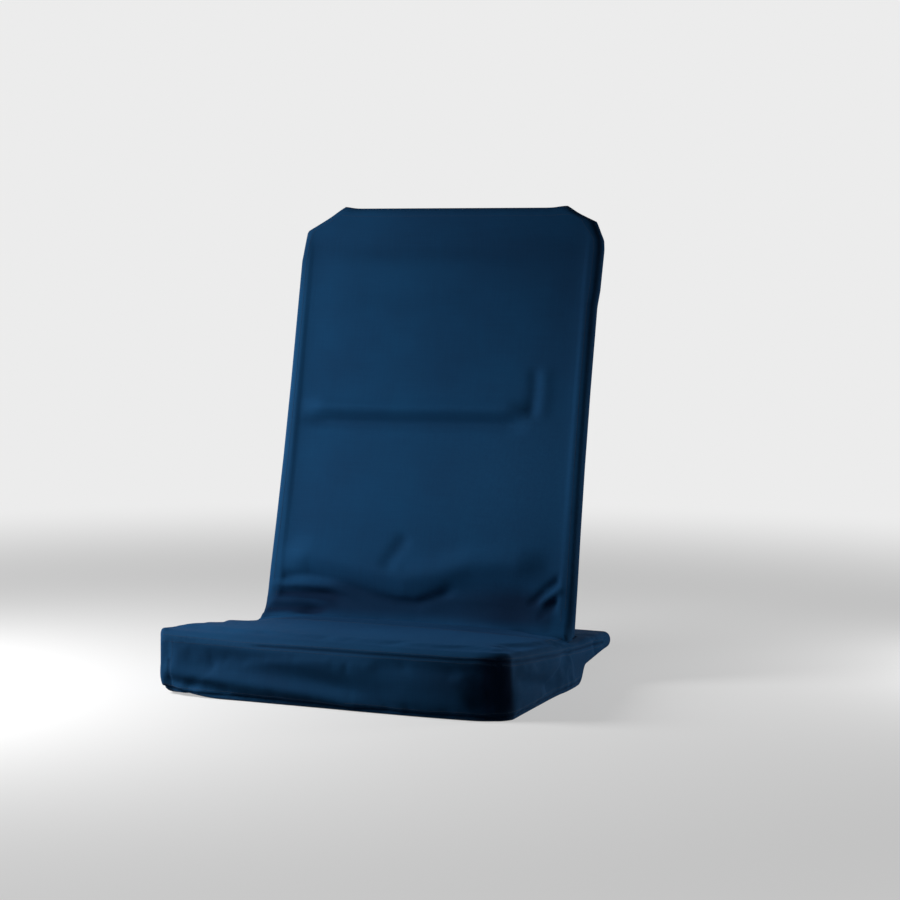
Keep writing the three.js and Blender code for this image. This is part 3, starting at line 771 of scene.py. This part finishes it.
def makeCushion():
    grid, quads, sides = boxSkin(*cushion["cells"])
    points = cushionForm(grid)
    made = clothObject("seat_cushion", points, quads, panelPlaces(points, quads, sides))
    settleCloth(made, holdWeight(points), seamWeight(grid))
    push = normalsOf(made) * foldHeight(points, cushionFolds)[:, None]
    push[:, 2] *= after(points[:, 2], 0, 0.02)
    setPoints(made, pointsOf(made) + push)
    modify(made, "SUBSURF", levels=1, render_levels=1)
    made.data.polygons.foreach_set("use_smooth", [True] * len(made.data.polygons))
    sewSeams(made)
    return made


def sewSeams(made):
    # Grooves where the seams are sewn, the cover's wear, and its painted shade
    tree = shapeTree(made)
    seams = [onSurface(tree, line, 0.0) for line in boxingSeams()]
    places = pointsOf(made)
    x, y, z = places.T
    groove = nearLines(places, seams, cushion["grooveWidth"])
    groove = groove * (1 - 0.75 * before(x, -0.09, 0.03) * before(y, -0.19, 0.02) * (z > 0.05))
    places = places - normalsOf(made) * (cushion["grooveDepth"] * groove)[:, None]
    places[:, 2] = np.maximum(places[:, 2], 0)
    setPoints(made, places)
    shoulder = nearLines(places, seams, cushion["shoulder"]) - groove
    # Painted shade in the seam grooves, at the boxing's right end and corner, which is in its own shade, and
    # in a crease at its upper left; paler where it drags on the floor
    x, y, z = places.T
    boxing = before(y, -0.190, 0.012) * before(z, 0.086, 0.008)
    shaded = 0.45 * after(x, 0.115, 0.06) * bell(z, 0.050, 0.020) + 0.9 * after(x, 0.210, 0.018)
    dragged = 0.55 * bell(x, -0.145, 0.075) * before(z, 0.034, 0.020)
    # Painted shade along a crease at the upper left of the boxing
    lit = 0.18 * bell(x, -0.175, 0.05) * bell(z, 0.062, 0.016)
    setShade(made, "rub", np.clip(shoulder, 0, 1) * 0.6 + dragged * boxing)
    setShade(made, "deep", np.clip(groove, 0, 1) * 0.5 + (shaded + lit) * boxing)


# The two pockets: how far to each side they begin and end, and their ends in depth and height
pockets = {"across": (0.2052, 0.2335), "along": (0.056, 0.1145), "up": (0.0322, 0.12)}


def cutPockets(thing):
    # Room where the hinge plates and the swinging legs go through the top
    for side in (-1, 1):
        across = sorted(side * x for x in pockets["across"])
        corners = [(x, y, z) for x in across for y in pockets["along"] for z in pockets["up"]]
        rings = [(0, 1, 3, 2), (4, 6, 7, 5), (0, 4, 5, 1), (2, 3, 7, 6), (0, 2, 6, 4), (1, 5, 7, 3)]
        cutter = clothObject("pocketCutter", corners, rings, np.zeros((24, 2)))
        modify(thing, "BOOLEAN", operation="DIFFERENCE", solver="EXACT", object=cutter)
        bpy.data.objects.remove(cutter)


seatCushion = makeCushion()
cutPockets(seatCushion)
print("cushion made,", len(seatCushion.data.polygons), "faces")
cushionTree = shapeTree(seatCushion)


def seatHeight(x, y):
    hit = cushionTree.ray_cast(Vector((x, y, 0.3)), Vector((0, 0, -1)))
    return hit[0].z if hit[0] is not None else 0.0


# Back cover: one sleeve over the back's hoop, whose front panel runs on as the lap over the seat

lapLow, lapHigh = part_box("lap_cloth")
recline = math.radians(12)

cover = {
    "frontColumns": 150, "sideColumns": 10, "cornerColumns": 4,
    "footRows": 16, "panelRows": 158, "topRows": 6, "lapRows": 36,
    "foot": -0.0200, "lapStart": 0.021, "top": 0.598, "footLow": 0.112,
    "halfDepth": 0.0110, "sideReach": 0.012, "chamferReach": 0.019,
    "cloth": 0.0012, "clear": 0.0004, "sewnFoot": 0.0004,
    "hang": 0.0030, "sag": 0.0082, "flare": 0.0115, "gussetBow": 0.006,
}
# The sleeve's loop of points: front panel, right side, rear panel with half as many, left side
frontCount = cover["frontColumns"] + 1
sideCount = cover["sideColumns"] - 1
rearCount = cover["frontColumns"] // 2 + 1
loopCount = frontCount + rearCount + 2 * sideCount
footRows = cover["footRows"]
overCloth = cover["cloth"] + cover["clear"]
barBoxLow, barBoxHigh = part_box("back_lower_bar")
barMiddle = (barBoxLow + barBoxHigh) / 2 - pivot
hoopLow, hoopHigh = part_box("back_hoop")
hoop = {
    "radius": 0.0095,
    "postX": hoopHigh.x - 0.0095,
    "barRadius": (barBoxHigh.z - barBoxLow.z) / 2,
    "barRise": barMiddle.y * math.sin(recline) + barMiddle.z * math.cos(recline),
    "barAway": barMiddle.y * math.cos(recline) - barMiddle.z * math.sin(recline),
}
# How far the cover reaches to each side at a rise above the hinge line
leftEdge = inMillimetres((-20, 242.5), (50, 241.5), (120, 239.5), (220, 237.5), (330, 236.5), (462, 236.5),
                         (515, 236.5), (561, 231.5), (597, 174), (620, 174))
rightEdge = inMillimetres((-20, 240.5), (50, 239.5), (120, 238), (220, 236.5), (330, 236), (452, 236.5),
                          (476, 239), (535, 240.5), (549, 239), (576, 226.5), (598, 180), (620, 180))
# Where the lap comes down on the seat, across the seat
touchDown = inMillimetres((-245, 50), (-225, 48), (-200, 49), (-150, 57), (-100, 66), (-50, 72), (0, 74),
                          (50, 72), (100, 66), (150, 57), (200, 49), (225, 48), (245, 50))
# How far forward the hinge hardware reaches at a height, which the cloth lies in front of
hardware = inMillimetres((54, 56), (70.2, 59.2), (76, 68), (83, 72.5), (91.8, 78), (97, 95))
# Folds of the front panel and the lap, as foldHeight reads them: each point is x and the rise along the cloth
panelFolds = [
    (-6.2, (9.5, 12), [(-217, 273), (-100, 274), (50, 277), (155, 278)], 0.12),
    (8, (12, 14), [(-217, 295), (-100, 296), (50, 299), (155, 300)], 0.12),
    (-2.6, 9, [(150, 280), (153, 330), (150, 368)]),
    (2, 11, [(168, 280), (170, 330), (168, 370)]),
    (1.2, 14, [(-190, 545), (0, 548), (190, 543)]),
    (-1.8, 13, [(-190, 526), (0, 527), (190, 523)]),
    (-1.4, 16, [(-169, 457), (-50, 455), (100, 460)]),
    (8.4, 20, [(-231, 66), (-174, 74), (-124, 66), (-75, 57), (-20, 49), (35, 60), (80, 76), (130, 80),
               (200, 78)], 0.12),
    (-4.4, 8.5, [(-229, 38), (-174, 43), (-124, 33), (-75, 22), (-30, 13), (0, 13), (35, 26), (65, 42)], 0.1),
    (-4, 17, [(0, 10), (35, 20), (70, 32), (126, 36), (205, 32)]),
    (-3.6, 19, [(-200, 6), (-100, 2), (0, -2), (100, 6), (200, 8)], 0.15),
    (-4.6, (5, 8.5), [(-245, 12), (-190, 16), (-140, 18), (-100, 11)], 0.35),
    (4.8, (5.5, 9), [(-250, 24), (-190, 30), (-130, 30), (-90, 22)], 0.35),
    (-5.4, (5, 8), [(-262, -14), (-200, -8), (-130, -8)], 0.3),
    (5.2, (5.5, 8), [(-262, -2), (-190, 4), (-120, 3)], 0.3),
    (-3.4, 12, [(-55, 52), (-45, 75), (-30, 100), (-20, 115)]),
    (-4.8, 6.5, [(225, 68), (205, 50), (183, 29), (165, 20)]),
    (4.6, 5.5, [(224, 50), (205, 36), (183, 20)]),
    (-4.5, 6, [(222, 34), (205, 18), (185, 0)]),
    (-2.2, 3.5, [(150, -22), (185, -18), (225, -14)]),
    (-1.8, 3.5, [(145, -31), (185, -28), (225, -26)]),
]


def onBack(x, away, rise):
    y = pivot.y + rise * math.sin(recline) + away * math.cos(recline)
    z = pivot.z + rise * math.cos(recline) - away * math.sin(recline)
    return np.stack([x, y, z], axis=-1)


def panelSink(x, rise):
    # How far the front panel lies back from the tubes' front line: hung between them, and leant into
    inner = np.clip(0.2265 - np.abs(x), 0, None)
    taut = 1 - np.exp(-(inner / 0.013) ** 1.6)
    ends = before(rise, cover["top"] - 0.02, 0.06)
    midBackShare = (1 - (np.abs(x) / 0.23) ** 2) * after(rise, 0.07, 0.20) * before(rise, 0.575, 0.27)
    return taut * cover["hang"] * ends + cover["sag"] * np.clip(midBackShare, 0, None)


def sleeveRises():
    foot = np.linspace(cover["foot"], cover["lapStart"], footRows, endpoint=False)
    shoulder = cover["top"] - cover["halfDepth"]
    panel = np.linspace(cover["lapStart"], shoulder, cover["panelRows"], endpoint=False)
    turn = np.linspace(0, 0.96, cover["topRows"]) * math.pi / 2
    rises = np.concatenate([foot, panel, shoulder + cover["halfDepth"] * np.sin(turn)])
    depths = np.concatenate([np.full(len(foot) + len(panel), 1.0), np.cos(turn)]) * cover["halfDepth"]
    return rises, depths


def sleeveRow(rise, depth):
    # One loop of the sleeve: front panel from left to right, right side, rear panel, left side
    reach = mixed(cover["sideReach"], cover["chamferReach"], after(rise, 0.545, 0.03))
    left, right = [np.interp(rise, *edge) - reach for edge in (leftEdge, rightEdge)]
    frontX = -left + np.linspace(0, 1, frontCount) * (left + right)
    turns = np.linspace(-90, 90, cover["sideColumns"] + 1)[1:-1] * math.pi / 180
    side = depth * np.sin(turns)
    bulge = reach * np.cos(turns)
    x = np.concatenate([frontX, right + bulge, frontX[::-2], -left - bulge[::-1]])
    away = np.concatenate([np.full(frontCount, -depth), side, np.full(rearCount, depth), side[::-1]])
    return x, away


def rearSink(x, rise):
    taut = 1 - np.exp(-np.clip(0.2245 - np.abs(x), 0, None) / 0.02)
    wave = 0.0006 * np.sin(rise * 21 + x * 5) + 0.0005 * np.sin(x * 33 + rise * 8)
    return taut * (0.0006 + wave) * before(rise, cover["top"] - 0.02, 0.06)


def topPeaks(x, rise):
    # The cloth stands a little proud over the upper corners of the hoop
    near = bell(x, -0.174, 0.014) + bell(x, 0.179, 0.014)
    return (0.0018 * near - 0.0010 * (1 - near)) * after(rise, cover["top"] - 0.035, 0.035)


def sleevePoints():
    rises, depths = sleeveRises()
    front = slice(0, frontCount)
    rear = slice(frontCount + sideCount, frontCount + sideCount + rearCount)
    rows = []
    for rise, depth in zip(rises, depths):
        x, away = sleeveRow(rise, depth)
        ease = depth / cover["halfDepth"]
        away[front] += panelSink(x[front], rise) * ease
        away[rear] -= rearSink(x[rear], rise) * ease
        bar = (hoop["barRadius"] + overCloth) ** 2 - (rise - hoop["barRise"]) ** 2
        if bar > 0:
            away[rear] = np.maximum(away[rear], hoop["barAway"] + math.sqrt(bar))
        rows.append(onBack(x, away, rise + topPeaks(x, rise)))
    return np.array(rows), rises


def lapColumn(head, under, edgeShare):
    # One column of the lap, from the panel's foot down and forward over the seat to its sewn edge
    down = (Vector(under) - Vector(head)).normalized()
    x = head[0] + cover["flare"] * math.copysign(abs(edgeShare) ** 12, edgeShare)
    touchY = float(np.interp(x, *touchDown))
    atSide = float(after(abs(edgeShare), 0.965, 0.035))
    touch = Vector((x, touchY, seatHeight(x, touchY) + overCloth * (1 - atSide)))
    first = Vector(head)
    nearHinge = float(after(abs(x), 0.10, 0.10))
    second = first + Vector((0, 0, -0.020)).lerp(down * 0.028, nearHinge)
    third = touch + Vector((0, mixed(0.001, 0.012, nearHinge), mixed(0.008, 0.0008, nearHinge)))
    column = []
    for t in np.arange(1, footRows + 1) / footRows:
        s = 1 - t
        column.append(first * s ** 3 + second * (3 * s * s * t) + third * (3 * s * t * t) + touch * t ** 3)
    flatRows = cover["lapRows"] - footRows
    for share in np.arange(1, flatRows + 1) / flatRows:
        y = mixed(touchY, lapLow.y, share)
        sunk = (overCloth + cover["sewnFoot"]) * max(share ** 5, atSide)
        column.append(Vector((x, y, seatHeight(x, y) + overCloth - sunk)))
    return [tuple(p) for p in column]


def gusset(points, cloth, quads, uvs, corner, sleeveEdge, lapEdge, leftSide):
    # Closes the wedge between the sleeve's side and the lap's end, down from the sleeve's rounded corner
    shares = np.linspace(0, 1, len(corner))
    first, last = np.asarray(points[corner[0]]), np.asarray(points[corner[-1]])
    bows = [np.asarray(points[c]) - first * (1 - t) - last * t for c, t in zip(corner, shares)]
    above = corner
    for j, (upper, lower) in enumerate(zip(sleeveEdge, lapEdge)):
        down = (j + 1) / len(sleeveEdge)
        ring = [upper]
        for t, bow in list(zip(shares, bows))[1:-1]:
            spot = np.asarray(points[upper]) * (1 - t) + np.asarray(points[lower]) * t + bow * (1 - down)
            spot[0] *= 1 + cover["gussetBow"] * math.sin(math.pi * t) * down
            beside = seatHeight(math.copysign(0.238, spot[0]), spot[1]) + overCloth
            spot[2] = mixed(spot[2], beside, down ** 4)
            ring.append(len(points))
            points.append(spot)
            cloth.append((spot[0], cloth[lower][1], t * 0.7))
        ring.append(lower)
        for k in range(len(ring) - 1):
            face = [ring[k + 1], ring[k], above[k], above[k + 1]]
            quads.append(face[::-1] if leftSide else face)
            uvs += [(points[c][1], points[c][2]) for c in quads[-1]]
        above = ring


def makeCover():
    # Also gives the sleeve's and the lap's points, which the stitches follow
    rows, rises = sleevePoints()
    corner = cover["cornerColumns"]
    points = list(rows.reshape(-1, 3))
    # How far each column of the loop takes part in the front's folds
    wrap = smooth(1 - np.arange(1, cover["sideColumns"]) / cover["sideColumns"] * 2.5)
    carried = np.concatenate([np.ones(frontCount), wrap, np.zeros(rearCount), wrap[::-1]])
    cloth = [(p[0], rise, share) for row, rise in zip(rows, rises) for p, share in zip(row, carried)]
    quads = []
    uvs = []
    closed = np.concatenate([rows[footRows], rows[footRows][:1]])
    runs = np.concatenate([[0], np.cumsum(np.linalg.norm(np.diff(closed, axis=0), axis=1))])

    def band(lower, upper, lowRise, highRise, columns):
        for c in columns:
            quads.append([lower[c], lower[c + 1], upper[c + 1], upper[c]])
            ends = ((c, lowRise), (c + 1, lowRise), (c + 1, highRise), (c, highRise))
            uvs.extend((runs[k], level[k]) for k, level in ends)

    loops = [[r * loopCount + c % loopCount for c in range(loopCount + 1)] for r in range(len(rises))]
    levels = [np.full(loopCount + 1, rise) for rise in rises]
    for r in range(len(rises) - 1):
        columns = range(frontCount - 1 + corner, loopCount - corner) if r < footRows else range(loopCount)
        band(loops[r], loops[r + 1], levels[r], levels[r + 1], columns)
    closeTop(quads, uvs, loops[-1], runs, rises[-1])
    start, below = rows[footRows][:frontCount], rows[footRows - 1][:frontCount]
    columns = [lapColumn(*ends) for ends in zip(start, below, np.linspace(-1, 1, frontCount))]
    lap = np.array(columns).transpose(1, 0, 2)
    base = len(points)
    points += list(lap.reshape(-1, 3))
    steps = np.linalg.norm(np.diff(np.concatenate([start[None], lap]), axis=0), axis=2)
    reached = rises[footRows] - np.cumsum(steps, axis=0)
    cloth += [(p[0], v, 1.0) for row, values in zip(lap, reached) for p, v in zip(row, values)]
    upper, above = loops[footRows], levels[footRows]
    for r, level in enumerate(reached):
        lower = range(base + r * frontCount, base + (r + 1) * frontCount)
        band(lower, upper, level, above, range(frontCount - 1))
        upper, above = lower, level
    for c, way in ((0, -1), (frontCount - 1, 1)):
        turn = [(c + way * k) % loopCount for k in range(corner, -1, -1)]
        top = [loops[footRows][k] for k in turn]
        sleeveEdge = [loops[footRows - 1 - j][turn[0]] for j in range(footRows)]
        lapEdge = [base + r * frontCount + c for r in range(footRows)]
        gusset(points, cloth, quads, uvs, top, sleeveEdge, lapEdge, c == 0)
    points, quads, kept = keepUsed(points, quads)
    made = clothObject("back_cover", points, quads, uvs)
    foldCover(made, points, np.array(cloth)[kept])
    return made, rows, lap


def foldCover(made, points, cloth):
    # Lays the cloth over the tubes, gives it its folds, and lets the lap rest on the seat
    onFront = cloth[:, 2] > 0.8
    folds = foldHeight(cloth[:, :2], panelFolds)
    places = clearOfTubes(points, onFront, 0.0022)
    setPoints(made, places)
    push = folds * cloth[:, 2]
    aside = np.abs(places[:, 0])
    low = before(places[:, 2], cover["footLow"], 0.02)
    push = np.where(push < 0, push * (1 - 0.6 * (after(aside, 0.170, 0.03) * low)), push)
    push *= 1 - 0.6 * after(aside, 0.224, 0.010) * low
    moved = clearOfTubes(places + normalsOf(made) * push[:, None], onFront)
    for index in np.where((moved[:, 1] < 0.072) & (moved[:, 2] < 0.1) & (cloth[:, 2] > 0))[0]:
        rest = seatHeight(*moved[index][:2]) + overCloth
        moved[index][2] = max(moved[index][2], min(rest, places[index][2]))
    setPoints(made, moved)
    paintCoverLightAndShade(made, cloth, places[:, 2], folds)


def paintCoverLightAndShade(made, cloth, z, folds):
    # Painted highlights: paler along the posts' flanks and over the lower middle of the back; painted shade:
    # darker at the top and in the folds and hollow at the foot
    x, rise, carried = cloth.T
    # Painted highlight along the flanks of the posts, weaker at the lower left
    post = bell(np.abs(x), 0.2365, 0.010) * after(rise, 0.05, 0.05) * before(rise, 0.44, 0.12)
    post = post * (1 - 0.8 * before(x, 0, 0.1) * before(rise, 0.25, 0.10))
    # Painted light: a paler patch over the lower middle of the back, stronger to the right
    midBackShare = bell(rise, 0.19, 0.13) * (0.10 + 0.30 * bell(x, 0.14, 0.12))
    # Painted shade in the hollow at the foot, under the panel's belly, and at the foot's left edge
    upTo = 0.124 + 0.014 * bell(x, 0.14, 0.08) + 0.012 * bell(x, -0.11, 0.05)
    paintedFootShade = before(z, upTo, 0.03) * after(z, 0.066, 0.022)
    paintedFootShade = paintedFootShade * (0.46 + 0.42 * bell(x, 0.155, 0.06) + 0.34 * bell(x, -0.18, 0.09))
    paintedFootShade = paintedFootShade * before(np.abs(x), 0.236, 0.02) * (1 - 0.8 * after(x, 0.204, 0.012))
    paintedFootShade += 0.5 * bell(x, -0.240, 0.018) * before(z, 0.108, 0.02) * after(z, 0.060, 0.01)
    # Painted shade: darker towards the top, more to the right, and in a band under the top hem
    high = after(rise, 0.36, 0.14) * (0.10 + 0.14 * after(x, 0.05, 0.15)) + 0.16 * bell(rise, 0.533, 0.02)
    # Painted shade in the valleys of the folds, stronger at the foot's left
    foot = before(x, -0.12, 0.03) * before(rise, 0.024, 0.012)
    paintedCreaseShade = np.clip(-folds, 0, None) * 45 * (1 + 1.3 * foot)
    setShade(made, "rub", (0.4 * post + midBackShare) * (carried > 0))
    setShade(made, "deep", (paintedFootShade + high + paintedCreaseShade) * (carried > 0))


def clearOfTubes(places, front, spare=0.0):
    # Keeps the front cloth in front of the hoop's two posts, of the lower bar and of the hinges
    up = (places[:, 1] - pivot.y, places[:, 2] - pivot.z)
    rise = up[0] * math.sin(recline) + up[1] * math.cos(recline)
    away = up[0] * math.cos(recline) - up[1] * math.sin(recline)
    post = hoop["radius"] ** 2 - (np.abs(places[:, 0]) - hoop["postX"]) ** 2
    limit = np.where(post > 0, -np.sqrt(np.maximum(post, 0)) - overCloth, 0.02)
    bar = (hoop["barRadius"] + overCloth) ** 2 - (rise - hoop["barRise"]) ** 2
    held = np.where(bar > 0, hoop["barAway"] - np.sqrt(np.maximum(bar, 0)), 0.02)
    push = np.maximum(away - np.minimum(limit, held), 0) * (front & (rise > -0.026) & (rise < 0.56))
    places = places + push[:, None] * np.array([0, -math.cos(recline), math.sin(recline)])
    beside = after(np.abs(places[:, 0]), 0.158, 0.042) * (front & (places[:, 2] < 0.097))
    reach = np.interp(places[:, 2], *hardware) - overCloth - spare
    places[:, 1] -= np.maximum(places[:, 1] - reach, 0) * beside
    return places


def keepUsed(points, faces):
    used = sorted({corner for face in faces for corner in face})
    place = {old: new for new, old in enumerate(used)}
    return np.asarray(points)[used], [[place[c] for c in face] for face in faces], used


def closeTop(quads, uvs, loop, runs, rise):
    # Sews the front and the rear together along the top, and round the two sides
    rear = frontCount + sideCount
    last = rear + rearCount - 1
    middle = sideCount // 2
    rings = [(2 * k, 2 * k + 1, 2 * k + 2, last - 1 - k, last - k) for k in range(rearCount - 1)]
    for front, back, way in ((frontCount - 1, rear, 1), (0, last, -1)):
        ahead = [(front + way * k) % loopCount for k in range(middle + 2)]
        behind = [back - way * k for k in range(middle + 1)]
        side = [(ahead[k], ahead[k + 1], behind[k + 1], behind[k]) for k in range(middle)]
        side.append((ahead[middle], ahead[middle + 1], behind[middle]))
        rings += [ring[::way] for ring in side]
    quads += [[loop[c] for c in ring] for ring in rings]
    uvs += [(runs[c], rise) for ring in rings for c in ring]


backCover, sleeveGrid, lapGrid = makeCover()
modify(backCover, "SOLIDIFY", thickness=cover["cloth"], offset=-1)
print("back cover made,", len(backCover.data.polygons), "faces")


# Closure flap under the rear of the seat

flapLow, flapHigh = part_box("closure_flap")
flap = {"across": 76, "deep": 12, "wave": 0.0006, "lift": 0.0006, "seam": 0.004}


def makeFlap():
    count = flap["across"] + 1
    width, depth = flapHigh.x - flapLow.x, flapHigh.y - flapLow.y
    rise = (flapHigh.z - flapLow.z) - cover["cloth"]
    points = []
    for j, i in np.ndindex(flap["deep"] + 1, count):
        u, v = i / flap["across"], j / flap["deep"]
        wave = -flap["wave"] * (0.5 + 0.5 * math.sin(u * 31) * math.sin(v * 3.1 + u * 7))
        z = flapLow.z + rise * v + wave + flap["lift"]
        points.append((flapLow.x + u * width, flapLow.y + v * depth, z))
    corners = [j * count + i for j, i in np.ndindex(flap["deep"], flap["across"])]
    quads = [(c, c + count, c + count + 1, c + 1) for c in corners]
    uvs = [points[c][:2] for ring in quads for c in ring]
    made = clothObject("seat_closure_flap", points, quads, uvs)
    for name in ("rub", "deep"):
        setShade(made, name, np.zeros(len(points)))
    return modify(made, "SOLIDIFY", thickness=cover["cloth"], offset=-1)


closureFlap = makeFlap()


# Stitches, by a tree that lays a short thread at each step of a line

stitch = {"pitch": 0.0034, "length": 0.0026, "radius": 0.00026, "sides": 8}


def stitchTree():
    tree = bpy.data.node_groups.new("stitchRun", "GeometryNodeTree")
    names = ("Geometry", "Pitch", "Length", "Radius", "Finish")
    for name, kind in zip(names, ("Geometry", "Float", "Float", "Float", "Material")):
        tree.interface.new_socket(name, in_out="INPUT", socket_type="NodeSocket" + kind)
    tree.interface.new_socket("Geometry", in_out="OUTPUT", socket_type="NodeSocketGeometry")
    graph = Graph(tree)
    line, pitch, length, radius, finish = graph.node("NodeGroupInput", output=None)[:len(names)]
    curve = graph.node("GeometryNodeMeshToCurve", {}, {0: line})
    spots = graph.node("GeometryNodeResampleCurve", {"mode": "LENGTH"}, {"Curve": curve, "Length": pitch})
    bead = graph.node("GeometryNodeMeshUVSphere", {}, {"Segments": stitch["sides"], "Rings": 5, "Radius": 1})
    size = graph.node("ShaderNodeCombineXYZ", {}, {"X": length * 0.5, "Y": radius, "Z": radius})
    thread = graph.node("GeometryNodeTransform", {}, {"Geometry": bead, "Scale": size})
    tangent = graph.node("GeometryNodeInputTangent")
    turn = graph.node("FunctionNodeAlignRotationToVector", {"axis": "X"}, {"Vector": tangent})
    sockets = {"Points": spots, "Instance": thread, "Rotation": turn}
    laid = graph.node("GeometryNodeInstanceOnPoints", {}, sockets)
    real = graph.node("GeometryNodeRealizeInstances", {}, {0: laid})
    even = graph.node("GeometryNodeSetShadeSmooth", {}, {"Geometry": real})
    dyed = graph.node("GeometryNodeSetMaterial", {}, {"Geometry": even, "Material": finish})
    graph.node("NodeGroupOutput", {}, {0: dyed}, None)
    return tree


stitching = stitchTree()


def sew(name, tree, lines):
    # One piece of stitching that follows all the given lines of points over a surface
    points = []
    edges = []
    for line in lines:
        edges += [(len(points) + k, len(points) + k + 1) for k in range(len(line) - 1)]
        points += [tuple(p) for p in onSurface(tree, line)]
    mesh = bpy.data.meshes.new(name)
    mesh.from_pydata(points, edges, [])
    made = linked(name, mesh)
    run = made.modifiers.new("stitches", "NODES")
    run.node_group = stitching
    given = {**stitch, "finish": finishes["thread"]}
    for item in stitching.interface.items_tree:
        if item.name.lower() in given:
            run[item.identifier] = given[item.name.lower()]
    return applyModifiers(made)


def besideSeams():
    # Rows of stitches a few millimetres beside each seam of the cushion
    beside = []
    for line in boxingSeams():
        flat = np.ptp(line[:, 0]) > 0.1
        for shift in ((0, 0, 0.0055), (0, 0, -0.0045)) if flat else ((0.0045, 0, 0),):
            beside.append(line + np.array(shift))
    return beside


coverTree = shapeTree(backCover)
seatStitching = sew("seat_stitching", cushionTree, besideSeams())
backStitching = sew("back_stitching", coverTree, [
    sleeveGrid[footRows:-8, 0],
    sleeveGrid[footRows:-8, frontCount - 1],
    sleeveGrid[2, frontCount - 1:],
    sleeveGrid[-7, 2:frontCount - 2],
    sleeveGrid[-7, frontCount + sideCount + 1:-sideCount - 1],
])
lapStitching = sew("lap_stitching", coverTree, [lapGrid[-2, 1:-1], lapGrid[:, 2], lapGrid[:, -3]])
seam = flap["seam"]
flapX = flapLow.x + seam + np.linspace(0, 1, 120) * (flapHigh.x - flapLow.x - 2 * seam)
flapEnds = ((flapLow.y + seam, flapLow.z - 0.01), (flapHigh.y - seam, flapHigh.z - 0.01))
flapLines = [[(x, y, z) for x in flapX] for y, z in flapEnds]
flapStitching = sew("flap_stitching", shapeTree(closureFlap), flapLines)
print("stitches sewn")


# What each piece moves with, replaces and takes its finish from

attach(seatCushion, "seat")
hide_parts("seat_cover", "seat_foam_top", "seat_foam_base")

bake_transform(backCover)
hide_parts("back_sleeve", "lap_cloth")
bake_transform(lapStitching)
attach(backStitching, "back")

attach(closureFlap, "seat")
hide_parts("closure_flap")
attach(flapStitching, "seat")
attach(seatStitching, "seat")

slots = {part["node"]: part["material_slot"] for part in frame["record"]["subparts"]}
for name, node in nodes.items():
    node.data.materials.clear()
    node.data.materials.append(finishes[slots[name]])
